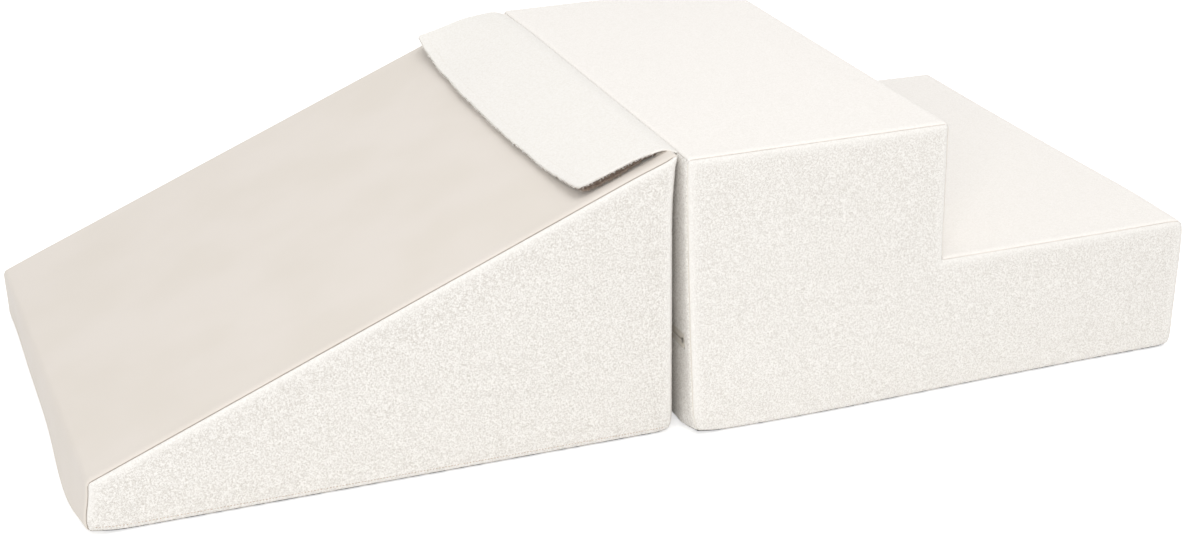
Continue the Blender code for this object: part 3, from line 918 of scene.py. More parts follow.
@dataclass(frozen=True)
class DottedCloth(Finish):
    """Dark non-slip base cloth with rows of small rubber dots and some lint, whose thin strip at the foot
    also paints the contact shadow.

    Attributes:
        lint: colour of the light fibres that cling to it.
    """

    lint: tuple[int, int, int] = (206, 200, 191)

    def dress(self, bench: Bench, shader: bpy.types.Node) -> None:
        """Raised dots on a woven ground."""
        where = bench.node("UVMap", {"uv_map": "cut"}).outputs["UV"]
        weave = self.shared(bench, crossed_yarns, Vector=where, Yarn=0.0009)
        dots = bench.node("TexVoronoi", {"voronoi_dimensions": "2D"}, Vector=where,
                          Scale=1 / self.grain, Randomness=0.0)
        dot = bench.ramp(dots.outputs["Distance"], 0.22, 0.30, 1.0, 0.0)
        plain = bench.mixed(dot, linear(self.colour), linear(self.second))
        lint = bench.node("TexNoise", Vector=bench.node("TexCoord").outputs["Object"], Scale=62.0, Detail=4.0)
        share = bench.ramp(lint.outputs["Fac"], 0.46, 0.53, 0.0, self.contrast)
        bench.feed(shader.inputs["Base Color"], bench.mixed(share, plain, linear(self.lint)))
        bench.feed(shader.inputs["Roughness"], bench.ramp(dot, 0.0, 1.0, self.roughness, 0.45))
        height = bench.sum("ADD", bench.sum("MULTIPLY", weave.outputs["Height"], 0.25), dot)
        self.bump(bench, shader, height)


@dataclass(frozen=True)
class CellFoam(Finish):
    """Open-cell foam, hidden inside the covers."""

    def dress(self, bench: Bench, shader: bpy.types.Node) -> None:
        """Small open cells, with painted shade where they are deep."""
        where = bench.node("TexCoord").outputs["Object"]
        cells = self.shared(bench, pebbled_grain, Vector=where, Pebble=self.grain)
        self.hollowed(bench, shader, cells, 0.3, 0.9)


@dataclass(frozen=True)
class Tangle(Finish):
    """Hook, loop or brushed tape: a dense tangle of fine fibres."""

    def dress(self, bench: Bench, shader: bpy.types.Node) -> None:
        """Fine curls close together, with painted shade in their hollows."""
        where = bench.node("TexCoord").outputs["Object"]
        loops = self.shared(bench, curled_loops, Vector=where, Loop=self.grain)
        self.hollowed(bench, shader, loops, 0.3, 0.9)


@dataclass(frozen=True)
class SatinMetal(Finish):
    """Satin nickel of the zip's slider and stops, faintly rubbed."""

    def dress(self, bench: Bench, shader: bpy.types.Node) -> None:
        """Faint rubbing in colour and gloss."""
        shader.inputs["Metallic"].default_value = 1.0
        where = bench.node("TexCoord").outputs["Object"]
        rubbed = bench.node("TexNoise", Vector=where, Scale=1 / self.grain, Detail=3.0)
        share = bench.ramp(rubbed.outputs["Fac"], 0.4, 0.65, 0.0, self.contrast)
        self.coloured(bench, shader, share)
        gloss = bench.ramp(share, 0.0, 1.0, self.roughness, self.roughness + 0.25)
        bench.feed(shader.inputs["Roughness"], gloss)
        self.bump(bench, shader, rubbed.outputs["Fac"])


def fibre(name: str, colour: tuple[int, int, int], second: tuple[int, int, int],
          roughness: float = 0.8) -> Finish:
    """The finish of a sewing thread or of frayed ends."""
    return CoatedCloth(name, colour, second, roughness, 0.0006, 0.00005, 0.8)


@dataclass(frozen=True)
class Wardrobe:
    """Every finish of the set."""

    # the looped cloths' second colour is painted shade in the creases between loops
    side_cloth: Finish = LoopedCloth("looped_cloth_side", (250, 247, 242), (176, 167, 155), 0.95, 0.0026,
                                     0.00034, 0.54, 0.15)
    # painted light: a lighter copy of the side cloth, with little painted crease shade, for the treads that
    # face the light
    tread_cloth: Finish = LoopedCloth("looped_cloth_lit_tread", (253, 249, 244), (206, 198, 185), 0.95, 0.0032,
                                      0.00016, 0.16, 0.15)
    slide_cloth: Finish = CoatedCloth("coated_cloth", (232, 224, 215), (227, 219, 208), 0.58, 0.0011,
                                      0.00004, 0.6, 0.10)
    # painted shadow: the dark base, whose thin strip shows at the foot, also stands in for the contact shadow
    base_cloth: Finish = DottedCloth("dotted_base_cloth", (64, 60, 57), (38, 36, 35), 0.9, 0.006, 0.0004, 0.8)
    foam: Finish = CellFoam("cell_foam", (238, 229, 200), (196, 182, 146), 1.0, 0.0016, 0.0004, 0.7)
    lining: Finish = Tangle("brushed_lining", (132, 113, 99), (76, 63, 55), 0.95, 0.0011, 0.0003, 0.7, 0.2)
    hooks: Finish = Tangle("hook_tape", (152, 138, 126), (104, 92, 83), 0.7, 0.0014, 0.0005, 0.7)
    loops: Finish = Tangle("loop_tape", (222, 213, 203), (186, 174, 162), 0.95, 0.0012, 0.0004, 0.6, 0.2)
    zip_tape: Finish = WovenCloth("zip_tape", (228, 222, 212), (186, 177, 164), 0.85, 0.0007, 0.0002, 0.6)
    coil: Finish = CoatedCloth("zip_coil", (232, 227, 218), (216, 209, 198), 0.38, 0.0008, 0.00003, 0.6)
    # painted light: a copy of the side cloth with less painted crease shade, for the flap that faces the
    # light
    flap_cloth: Finish = LoopedCloth("looped_cloth_lit_flap", (250, 247, 242), (214, 206, 193), 0.95, 0.0034,
                                     0.00018, 0.22, 0.15)
    thread: Finish = fibre("sewing_thread", (246, 242, 235), (232, 224, 212), 0.7)
    hem_thread: Finish = fibre("hem_thread", (198, 174, 154), (182, 158, 138), 0.7)
    # painted shade: a taupe thread in the slope's seams, partly real thread, that draws the seam's shadow
    # line
    seam_thread_and_shade: Finish = fibre("seam_thread_and_shade", (172, 160, 149), (156, 144, 133))
    # painted shade: a slightly darker thread in the treads' seams, partly real thread, that draws their faint
    # shadow line
    tread_thread_and_shade: Finish = fibre("tread_thread_and_shade", (240, 232, 224), (228, 219, 210))
    frayed: Finish = fibre("frayed_ends", (176, 158, 144), (148, 130, 117), 0.9)
    metal: Finish = SatinMetal("satin_nickel", (205, 203, 198), (176, 172, 165), 0.32, 0.003, 0.00002, 0.6)


SEAM = SewnEdge()
COATED_SEAM = SewnEdge(pull=0.0008, puff=0.0005, allowance=0.0022, gap=0.00035)
PILE = Pile()
BASE_RUN: Run = (0, 0, Corner.BASE, Corner.BASE)
BASE_PITCH = 0.009
SIDE_PITCH = 0.0026


@dataclass
class Cover:
    """Builds one module's cover and foam, with the window for its zip.

    Attributes:
        block: the module's block.
        body: the body that its pieces ride on.
        finishes: the set's finishes.
        pitch: distance between the mesh's points on a looped panel.
        follow: how far the foam follows its cover where that leaves the plain outline.
    """

    block: Block
    body: str
    finishes: Wardrobe
    pitch: float = 0.0022
    follow: float = 0.85

    @property
    def foam_name(self) -> str:
        """Name of the foam that the cover is stretched over."""
        return f"{self.block.name}_foam"

    def wall(self, word: str, run: Run, finish: Finish, slot: str, pitch: float,
             pile: Pile | None = None, seam: SewnEdge = SEAM) -> None:
        """Make one wall panel, with the zip's window if it is the back.

        Args:
            word: the panel's name after the module's.
            run: its first and last edge, and how it ends there.
            finish: its finish.
            slot: the record's slot.
            pitch: distance between its points.
            pile: the relief of its cloth.
            seam: how its cloth behaves at its edges.
        """
        block, sizes, wall = self.block, self.block.sizes, Wall(self.block, *run)
        reach = block.flat_half + sizes.rounding * (block.seam_turn if wall.first else block.base_turn)
        gap, whole = seam.gap, wall.whole
        stops, row_stops, keep, hole = [gap, whole - gap], [gap - reach, reach - gap], None, 0.0
        if word == "back":
            low, high = (sizes.zip_height + part * sizes.zip_window / 2 for part in (-1, 1))
            half = sizes.half_width - sizes.zip_end
            _, direction, _, length = block.edge(wall.first)
            offset = wall.path[0][0] - wall.path[1][5]
            levels = sorted(offset + (level if direction.y > 0 else length - level) for level in (low, high))
            stops[1:1], row_stops[1:1] = levels, [-half, half]
            hole = (high - low) * 2 * half

            def keep(column: float, row: float) -> bool:
                """Whether a cell lies outside the window."""
                return not (levels[0] < column < levels[1] and abs(row) < half)

        cloth = cloth_sheet(graded(stops, pitch), graded(row_stops, pitch), wall.place,
                            wall.lift(reach, seam, pile), keep, seam.allowance)
        name = f"{block.name}_{word}_panel"
        piece = fitted(new_piece(name + "_cloth", cloth, finish.material()), self.body, slot, [name])

    def side_grid(self) -> SideGrid:
        """Columns and rows of a side panel, which cells it keeps, and its flat area."""
        raise NotImplementedError

    def side_spot(self, column: float, row: float) -> tuple[float, float]:
        """Where a column and row of the side's grid lie in its plane."""
        return column, row

    def sides(self) -> None:
        """Make the near and the far side panel."""
        columns, rows, keep, area = self.side_grid()
        lift = self.block.side_lift(SEAM, PILE)
        for side in Side:
            surface = self.block.side_place(side)

            def place(column: float, row: float) -> tuple[Vector, Vector]:
                """Point and normal of the side's surface."""
                return surface(*self.side_spot(column, row))

            def rise(column: float, row: float, point: Vector) -> float:
                """Height of the side's cloth."""
                return lift(*self.side_spot(column, row), point)

            def calm(column: float, row: float) -> float:
                """How much of the side's pattern shows, less beside its upper seams as a painted highlight.
                """
                return self.block.side_calm(*self.side_spot(column, row))

            cloth = cloth_sheet(columns, rows, place, rise, keep, SEAM.allowance, calm)
            name = f"{self.block.name}_{side.name.lower()}_side_panel"
            piece = fitted(new_piece(name + "_cloth", cloth, self.finishes.side_cloth.material()),
                           self.body, "boucle", [name])

    def seam_thread_and_shade(self, word: str, runs: Sequence[Run], thread: Finish, thickness: float,
                    sunk: float, slot: str) -> None:
        """Make the thread that shows in the seams between wall panels and both side panels, which in a darker
        colour also paints the seam's shadow line.

        Args:
            word: the thread's name after the module's.
            runs: first and last edge of each wall panel, and how it ends there.
            thread: the thread's finish.
            thickness: the thread's thickness.
            sunk: how deep it lies under the cover's surface.
            slot: the record's slot.
        """
        block = self.block
        reach = block.flat_half + block.sizes.rounding * block.seam_turn
        routes = []
        for run in runs:
            wall = Wall(block, *run)
            for side in Side:
                route = []
                for column in graded([0.004, wall.whole - 0.002], 0.006, 0.002):
                    point, normal = wall.place(column, side.value * reach)
                    depth = sunk * (1 + 0.2 * noise.noise(point / 0.012))
                    route.append(point - normal * depth)
                routes.append(route)
        fitted(strands(f"{block.name}_{word}_thread", routes, thickness, thread), self.body, slot)

    def foam(self, nodes: Sequence[str]) -> None:
        """Make the foam block that fills the cover."""
        block, sizes = self.block, self.block.sizes
        inset = sizes.cover + sizes.clearance
        solid = bmesh.new()
        corners = []
        for index in range(len(block.outline)):
            away = block.inner[index] - block.outline[index]
            corners.append(block.outline[index] + away * (inset / sizes.rounding))
        reach = sizes.half_width - inset
        cap = solid.faces.new([solid.verts.new((spot.x, block.centre_y - reach, spot.y)) for spot in corners])
        grown = bmesh.ops.extrude_face_region(solid, geom=[cap])
        moved = [item for item in grown["geom"] if isinstance(item, bmesh.types.BMVert)]
        bmesh.ops.translate(solid, verts=moved, vec=(0.0, 2 * reach, 0.0))
        bmesh.ops.recalc_face_normals(solid, faces=solid.faces)
        bmesh.ops.bevel(solid, geom=[edge for edge in solid.edges if edge.is_convex],
                        offset=sizes.rounding - inset, offset_type="OFFSET", segments=3, profile=0.5,
                        affect="EDGES", material=-1)
        edges = (sorted({round(spot.x, 5) for spot in corners}),
                 [block.centre_y - reach, block.centre_y + reach],
                 sorted({round(spot.y, 5) for spot in corners}))
        for axis, stops in enumerate(edges):
            sliced(solid, axis, graded(stops, 0.032, 0.004)[1:-1])
        for vert in solid.verts:
            vert.co = vert.co.lerp(block.eased(vert.co), self.follow)
        piece = new_piece(self.foam_name, solid, self.finishes.foam.material())
        fitted(piece, self.body, "foam", nodes)


@dataclass
class WedgeCover(Cover):
    """The slide: coated cloth over slope and nose, looped sides and back."""

    def side_grid(self) -> SideGrid:
        """Upright columns, and rows that run from the base to the slope."""
        block = self.block
        low = block.inner[0].x - block.rim_width(3) + SEAM.gap
        high = block.inner[1].x + block.rim_width(1) - SEAM.gap
        top, bottom = self.slope_level(high), self.base_level()
        columns = graded([low, high], self.pitch)
        rows = graded([0.0, top - bottom], self.pitch)
        area = (high - low) * ((self.slope_level(low) + top) / 2 - bottom)
        return columns, rows, None, area

    def base_level(self) -> float:
        """Level of the unrolled side's lower edge."""
        return self.block.inner[0].y - self.block.rim_width(0) + SEAM.gap

    def slope_level(self, column: float) -> float:
        """Level of the unrolled side's upper edge at a column."""
        first, direction, inward, _ = self.block.edge(2)
        start = self.block.inner[2] - inward * (self.block.rim_width(2) - SEAM.gap)
        return start.y + (column - start.x) * direction.y / direction.x

    def side_spot(self, column: float, row: float) -> tuple[float, float]:
        """Squeeze the rows between the base and the slope, and keep their spacing at both."""
        edge_zone = 0.009
        bottom, top = self.base_level(), self.slope_level(column)
        full = self.slope_level(self.block.inner[1].x + self.block.rim_width(1) - SEAM.gap) - bottom
        if row < edge_zone:
            return column, bottom + row
        if row > full - edge_zone:
            return column, top - (full - row)
        share = (row - edge_zone) / (full - 2 * edge_zone)
        return column, bottom + edge_zone + share * (top - bottom - 2 * edge_zone)

    def build(self) -> None:
        """Make every piece of the wedge but its zip."""
        cloth = self.finishes
        self.foam(["wedge_foam_core"])
        # the dark base's strip at the foot paints the contact shadow
        self.wall("base", BASE_RUN, cloth.base_cloth, "base_fabric", BASE_PITCH)
        self.wall("back", (1, 1, Corner.ABOVE_BASE, Corner.MITRE), cloth.side_cloth, "boucle", 0.0034, PILE)
        self.wall("slide", SLIDE_RUN, cloth.slide_cloth, "leatherette", 0.0045, seam=COATED_SEAM)
        self.sides()
        self.hem_line()
        # the taupe thread paints the shadow line along the slope's seams
        self.seam_thread_and_shade("slide", [SLIDE_RUN], cloth.seam_thread_and_shade, 0.0009, 0.0006, "leatherette")

    def hem_line(self) -> None:
        """Make the stitched hem line along both sides, just above the floor."""
        block, pitch, length = self.block, 0.0032, 0.0023
        lift = block.side_lift(SEAM, None)
        low, high = block.inner[0].x + 0.002, block.inner[1].x - 0.002
        spots = []
        for side in Side:
            surface = block.side_place(side)
            for index in range(int((high - low) / pitch)):
                column = low + (index + 0.5) * pitch
                point, normal = surface(column, block.hem)
                height = lift(column, block.hem, point) + 0.0001
                spots.append((point + normal * height, Vector((1.0, 0.0, 0.0))))
        row = stitch_row("wedge_hem_stitches", spots, self.finishes.hem_thread, (length, 0.0010, 0.0008))
        fitted(row, self.body, "boucle")


@dataclass
class StepsCover(Cover):
    """The two steps, looped cloth all round."""

    def side_grid(self) -> SideGrid:
        """Upright columns and level rows, without the cells over the low step."""
        inner, rim = self.block.inner, self.block.rim_width(1) - SEAM.gap
        left, right, riser = inner[0].x - rim, inner[1].x + rim, inner[3].x + rim
        bottom = inner[0].y - self.block.rim_width(0) + SEAM.gap
        low, top = inner[3].y + rim, inner[4].y + rim

        def keep(column: float, row: float) -> bool:
            """Whether a cell is below the low tread or behind the riser."""
            return column < riser or row < low

        area = (right - left) * (low - bottom) + (riser - left) * (top - low)
        return graded([left, riser, right], self.pitch), graded([bottom, low, top], self.pitch), keep, area

    def build(self) -> None:
        """Make every piece of the steps but their zip."""
        cloth = self.finishes
        self.foam(["steps_lower_foam_block", "steps_upper_foam_block"])
        # the dark base's strip at the foot paints the contact shadow
        self.wall("base", BASE_RUN, cloth.base_cloth, "base_fabric", BASE_PITCH)
        treads = {word: run for word, run in STEPS_RUNS.items() if word.endswith("tread")}
        uprights = {word: run for word, run in STEPS_RUNS.items() if word not in treads}
        # the treads take the lit copy of the looped cloth
        top, side = (cloth.tread_cloth, self.pitch), (cloth.side_cloth, SIDE_PITCH)
        for word, run in STEPS_RUNS.items():
            finish, pitch = top if word in treads else side
            self.wall(word, run, finish, "boucle", pitch, PILE)
        self.sides()
        # the treads' thread paints their seams' faint shadow line
        self.seam_thread_and_shade("tread", list(treads.values()), cloth.tread_thread_and_shade, 0.0007, 0.0005, "boucle")
        self.seam_thread_and_shade("upright", list(uprights.values()), cloth.thread, 0.0010, 0.0004, "boucle")


def stitch_row(name: str, spots: Sequence[tuple[Vector, Vector]], thread: Finish,
               size: tuple[float, float, float]) -> bpy.types.Object:
    """Make a row of stitches.

    Args:
        name: the row's name.
        spots: middle and direction of each stitch.
        thread: the thread's finish.
        size: length, width and height of a stitch.

    Returns:
        All the stitches as one piece.
    """
    row = bmesh.new()
    scale = Matrix.Diagonal((size[0] / 2, size[1] / 2, size[2] / 2, 1.0))
    for middle, direction in spots:
        turned = direction.to_track_quat("X", "Z").to_matrix().to_4x4()
        bmesh.ops.create_uvsphere(row, u_segments=6, v_segments=4, radius=1.0,
                                  matrix=Matrix.Translation(middle) @ turned @ scale)
    return new_piece(name, row, thread.material())


def strands(name: str, routes: Sequence[Sequence[Vector]], thickness: float,
            finish: Finish) -> bpy.types.Object:
    """Make thin strands along routes.

    Args:
        name: the piece's name.
        routes: points along each strand.
        thickness: the strands' thickness.
        finish: their finish.

    Returns:
        All the strands as one piece.
    """
    drawn = bpy.data.curves.new(name + "_routes", "CURVE")
    drawn.dimensions, drawn.bevel_depth, drawn.bevel_resolution = "3D", thickness / 2, 0
    for route in routes:
        spline = drawn.splines.new("POLY")
        spline.points.add(len(route) - 1)
        for point, spot in zip(spline.points, route):
            point.co = (*spot, 1.0)
    holder = bpy.data.objects.new(name + "_routes", drawn)
    mesh = bpy.data.meshes.new_from_object(holder)
    bpy.data.objects.remove(holder)
    bpy.data.curves.remove(drawn)
    mesh.name = name
    return placed(name, mesh, finish.material())


class Line:
    """A smooth line in an upright plane, walked by its length."""

    def __init__(self, points: Sequence[Vector]) -> None:
        """Measure the line through the points."""
        self.points = list(points)
        self.marks = [0.0]
        for before, after in zip(points, points[1:]):
            self.marks.append(self.marks[-1] + (after - before).length)

    @property
    def length(self) -> float:
        """The line's whole length."""
        return self.marks[-1]

    def at(self, distance: float) -> tuple[Vector, Vector]:
        """Point and direction at a distance from the line's start."""
        index = min(max(bisect_right(self.marks, distance) - 1, 0), len(self.points) - 2)
        first, second = self.points[index], self.points[index + 1]
        direction = (second - first).normalized()
        return first + direction * (distance - self.marks[index]), direction


@dataclass
class Flap:
    """The flap that is sewn to the steps, goes over the ridge and lies on the slide.

    Attributes:
        wedge: the slide's block.
        steps: the steps' block.
        finishes: the set's finishes.
        near_margin: distance in from the steps' near side.
        far_margin: distance in from the steps' far side.
        reach: how far down the slope the free edge lies.
        thickness: thickness of the folded face cloth.
        clearance: gap between two layers.
        lining_gap: depth of the lining under the flap's upper surface.
        roll: radius of the turned edge.
        hem: width of the hem turned under.
        hang: how far the lining's fuzzy edge hangs at the near end.
        corner_lift: how far the near corner stands up.
        lift_length: how far along the flap that shows.
        slope_crown: how far the filling lifts the slope.
        strip_thickness: thickness of the hook and the loop tape.
        strip_width: their width.
        strip_end: distance of their ends from the flap's ends.
        strip_edge: distance of the hook tape from the free edge.
        lining_start: where the lining begins.
        hang_start: where its near edge begins to hang.
        corner: how far the free edge's corners are rounded.
        bow: how much further the free edge reaches in its middle than at its ends.
        far_lift: how far the far corner stands up.
        far_length: how far along the flap that shows.
        far_drop: how far the ridge gives way under the flap's far end.
        drop_reach: how far from the ridge that shows.
        sway: height of the flap's broad unevenness.
        sway_length: its length.
        waves: height, length and noise track of each kind of wave in the free edge.
        stitch_inset: distance of the hem's stitches from the edge.
        stitch_dip: how deep they draw the cloth in.
        stitch_reach: how far from them that shows.
        pitch: distance between the cloth's points.
    """

    wedge: Block
    steps: Block
    finishes: Wardrobe
    near_margin: float = 0.029
    far_margin: float = 0.008
    reach: float = 0.098
    thickness: float = 0.0024
    clearance: float = 0.0003
    lining_gap: float = 0.0031
    roll: float = 0.0012
    hem: float = 0.007
    hang: float = 0.0030
    corner_lift: float = 0.004
    lift_length: float = 0.130
    slope_crown: float = 0.0015
    strip_thickness: float = 0.0015
    strip_width: float = 0.038
    strip_end: float = 0.012
    strip_edge: float = 0.004
    lining_start: float = 0.027
    hang_start: float = 0.042
    corner: float = 0.007
    bow: float = 0.009
    far_lift: float = 0.010
    far_length: float = 0.110
    far_drop: float = 0.0030
    drop_reach: float = 0.030
    sway: float = 0.0007
    sway_length: float = 0.06
    waves: tuple[tuple[float, float, float], ...] = ((0.0016, 0.055, 2.0), (0.0005, 0.010, 6.0))
    stitch_inset: float = 0.0085
    stitch_dip: float = 0.00035
    stitch_reach: float = 0.0012
    pitch: float = 0.0026

    def __post_init__(self) -> None:
        """Work out the flap's ends and its line over the ridge."""
        half = self.wedge.sizes.half_width
        self.low = self.steps.centre_y - half + self.near_margin
        self.high = self.steps.centre_y + half - self.far_margin
        self.line = self.top_line()

    @property
    def half(self) -> float:
        """Half the flap's length across the slide."""
        return (self.high - self.low) / 2

    def top_line(self) -> Line:
        """The flap's upper surface from its seam over the ridge to its free edge."""
        sizes = self.wedge.sizes
        ridge, slope, inward, _ = self.wedge.edge(2)
        lying = self.thickness + self.clearance + 0.0010
        lying += 2 * self.strip_thickness + 3 * self.clearance + self.slope_crown
        root = Vector((sizes.steps_back_x + 0.0020, sizes.steps_height - 0.0007))
        crest = Vector((ridge.x - 0.0045, ridge.y + 0.0021))
        rest = ridge + slope * (self.reach - self.strip_width - 2 * self.strip_edge) - inward * lying
        end = ridge + slope * self.reach - inward * lying
        over = Vector((-1.0, 0.0)).lerp(slope, 0.4).normalized()
        rising = Vector((-1.0, 0.32)).normalized()
        first_arm, second_arm = (crest - root).length / 3, (rest - crest).length / 3
        arch = interpolate_bezier(root, root + rising * first_arm, crest - over * first_arm, crest, 24)
        lay = interpolate_bezier(crest, crest + over * second_arm, rest - slope * second_arm, rest, 40)
        return Line([Vector(point[:2]) for point in arch + lay[1:]] + [end])

    def surface(self, along: float, across: float,
                bow: float | None = None) -> tuple[Vector, Vector, Vector]:
        """Point, direction away from the seam, and upward normal of the flap's upper surface.

        Args:
            along: distance from the seam.
            across: distance from the middle of the flap, towards the far side.
            bow: how far the middle is drawn out, the flap's own bow if left out.

        Returns:
            The point, the direction and the normal.
        """
        to_free, to_end = self.line.length - along, self.half - abs(across)
        corner = self.corner if across < 0 else self.corner / 2
        over, aside = max(corner - to_free, 0.0), max(corner - to_end, 0.0)
        if over and aside:
            rounded = max(over, aside) / math.hypot(over, aside)
            along -= over * (1 - rounded)
            across -= math.copysign(aside * (1 - rounded), across)
        outer = (along / self.line.length) ** 6
        drawn = self.bow if bow is None else bow
        to_tip = abs(across / self.half) ** (3 if across < 0 else 2)
        along += drawn * along / self.line.length * (1 - to_tip)
        for height, length, track in self.waves:
            along += outer * height * noise.noise(Vector((across / length, track, 0.0)))
        spot, direction = self.line.at(along)
        seam_x, end_x = self.line.points[0].x, self.line.points[-1].x
        out = min(max((seam_x - spot.x) / (seam_x - end_x), 0.0), 1.0)
        near = min(max(1.0 - (across + self.half) / self.lift_length, 0.0), 1.0)
        point = Vector((spot.x, (self.low + self.high) / 2 + across, spot.y))
        far = min(max(1.0 - (self.half - across) / self.far_length, 0.0), 1.0)
        point.z += self.corner_lift * out ** 2 * near ** 2 + self.far_lift * out ** 2 * far ** 2
        ridge_x = self.wedge.sizes.wedge_back_x
        point.z -= self.far_drop * far ** 2 * math.exp(-(((spot.x - ridge_x) / self.drop_reach) ** 2))
        point.z += self.sway * out * noise.noise(point / self.sway_length)
        point = self.steps.eased(point)
        return point, Vector((direction.x, 0.0, direction.y)), Vector((direction.y, 0.0, -direction.x))

    def rolled(self, beyond: float) -> tuple[float, float, float]:
        """Outward place, drop and angle of cloth past a turned edge."""
        if beyond <= 0:
            return 0.0, 0.0, 0.0
        turn = min(beyond / self.roll, math.pi)
        back = beyond - turn * self.roll
        return self.roll * math.sin(turn) - back, self.roll * (1 - math.cos(turn)), turn

    def face(self) -> None:
        """Make the face: looped cloth with a hem turned under along three edges."""
        whole, half, turn = self.line.length, self.half, math.pi * self.roll
        columns = graded([0.0, whole, whole + turn, whole + turn + self.hem], self.pitch)
        rows = graded([-half - turn - self.hem, -half - turn, -half, half, half + turn,
                       half + turn + self.hem], self.pitch)

        def place(column: float, row: float) -> tuple[Vector, Vector]:
            """Point and normal of the face cloth."""
            out, down, turned = self.rolled(column - whole)
            side_out, side_down, side_turned = self.rolled(abs(row) - half)
            side = math.copysign(1.0, row)
            point, direction, normal = self.surface(min(column, whole), side * min(abs(row), half))
            point = point + direction * out + Vector((0.0, side * side_out, 0.0))
            point -= normal * max(down, side_down)
            facing = direction * math.sin(turned) + Vector((0.0, side * math.sin(side_turned), 0.0))
            return point, (facing + normal * min(math.cos(turned), math.cos(side_turned))).normalized()

        def lift(column: float, row: float, point: Vector) -> float:
            """Height of the face cloth: its pile, and the dip along the row of stitches."""
            to_row = min(whole - column, half - abs(row)) - self.stitch_inset
            dip = self.stitch_dip * math.exp(-((to_row / self.stitch_reach) ** 2))
            return PILE.rise(point) * 0.35 * min(1.0, column / 0.004) - dip

        def keep(column: float, row: float) -> bool:
            """Whether a cell is outside the corners, where one hem is cut away under the other."""
            half_turn = self.roll * math.pi / 2
            return not (column > whole + half_turn and abs(row) > half + half_turn)

        cloth = cloth_sheet(columns, rows, place, lift, keep, 0.0005)
        # the flap takes the lit copy of the looped cloth
        finish = self.finishes.flap_cloth
        piece = new_piece("flap_face_cloth", cloth, finish.material())
        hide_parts("flap_face")
        self.bend(piece)

    def bend(self, piece: bpy.types.Object) -> None:
        """Bake the piece's place into its mesh; the flap's root and a point past it are worked out but not
        used.
        """
        root, over = self.line.points[0], self.line.at(0.016)[0]
        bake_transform(piece)

    def lining(self) -> None:
        """Make the grey-brown lining, whose edge peeks out and hangs at the near end."""
        whole, half = self.line.length, self.half
        quarter, bend = 0.0014, 0.0012  # radius of its turn at the near end and at the free edge
        past, inset = 0.0030, 0.0010  # its run past the free edge, and its place in from the face's edges
        drop = quarter * math.pi / 2 + self.hang
        columns = graded([self.lining_start, whole, whole + past], self.pitch)
        rows = graded([-half - drop, -half, half], self.pitch)

        def place(column: float, row: float) -> tuple[Vector, Vector]:
            """Point and normal of the lining, which faces down."""
            beyond, hanging = max(column - whole, 0.0), max(-half - row, 0.0)
            point, direction, normal = self.surface(min(column, whole), max(row, -half))
            edge_turn = min(beyond / bend, 1.25)
            point = point + direction * (bend * math.sin(edge_turn) - inset)
            point -= normal * (self.lining_gap + bend * (1 - math.cos(edge_turn))
                               + (beyond - edge_turn * bend))
            turn = min(hanging / quarter, math.pi / 2)
            grown = min(max((column - self.hang_start) / 0.026, 0.0), 1.0)
            ragged = 1.0 + 0.30 * noise.noise(Vector((column / 0.0022, 4.0, 0.0)))
            ragged += 0.30 * noise.noise(Vector((column / 0.0090, 9.0, 0.0)))
            at_tip = min(max((whole - column) / 0.010, 0.0), 1.0)
            loose = (hanging - turn * quarter) * (0.20 + 0.80 * grown) * (0.35 + 0.65 * at_tip) * ragged
            set_back = (1 - grown) * 0.0015 * min(max(1 - (row + half) / 0.030, 0.0), 1.0)
            point.y += set_back + inset - quarter * math.sin(turn)
            point -= normal * (quarter * (1 - math.cos(turn)) + loose)
            facing = -normal * math.cos(turn) + Vector((0.0, 1.0, 0.0)) * math.sin(turn)
            return point, facing

        def lift(column: float, row: float, point: Vector) -> float:
            """Unevenness of the brushed lining."""
            return 0.00025 * noise.noise(point / 0.003)

        cloth = cloth_sheet(columns, rows, place, lift, None, 0.0004)
        piece = new_piece("flap_lining_cloth", cloth, self.finishes.lining.material())
        fitted(piece, "flap", "lining", ["flap_lining"])
        edge = [place(column, rows[0])[0] for column in graded([0.045, whole], 0.0008)]
        free = [place(whole + 0.0024, row)[0] for row in graded([-half, half], 0.0030)]
        self.fuzz("flap_near_end_fuzz", edge, 0.0034, 6, self.finishes.frayed, "lining")
        self.fuzz("flap_free_edge_fuzz", free, 0.0018, 2, self.finishes.frayed, "lining")

    def loops(self) -> None:
        """Make the ivory loops that stand out of the face's turned edges."""
        whole, half = self.line.length, self.half
        rim = []
        for column in graded([0.030, whole], 0.0009):
            point, _, normal = self.surface(column, -half)
            rim.append(point - normal * self.roll - Vector((0.0, self.roll, 0.0)))
        for row in graded([-half, half], 0.0014):
            point, direction, normal = self.surface(whole, row)
            rim.append(point - normal * self.roll + direction * self.roll)
        self.fuzz("flap_rim_loops", rim, 0.0026, 4, self.finishes.flap_cloth, "boucle", 0.0004)

    def fuzz(self, name: str, edge: Sequence[Vector], reach: float, each: int, finish: Finish,
             slot: str, thickness: float = 0.0003) -> None:
        """Make loose fibres along an edge of the flap.

        Args:
            name: the piece's name.
            edge: points along the edge.
            reach: how far the fibres stand out.
            each: how many start at each point.
            finish: the fibres' finish.
            slot: the record's slot.
            thickness: thickness of a fibre.
        """
        chance = random.Random(len(edge))
        routes = []
        for root in edge:
            for _ in range(each):
                heading = Vector([chance.uniform(-0.9, most) for most in (0.5, 0.2, 0.6)])
                curl = Vector([chance.uniform(-0.5, 0.5) for _ in range(3)])
                length = reach * chance.uniform(0.3, 1.0)
                start = root + Vector([chance.uniform(-0.0004, 0.0004) for _ in range(3)])
                routes.append([start + heading * length * share + curl * length * share ** 2
                               for share in (0.0, 0.3, 0.65, 1.0)])
        fitted(strands(name, routes, thickness, finish), "flap", slot)

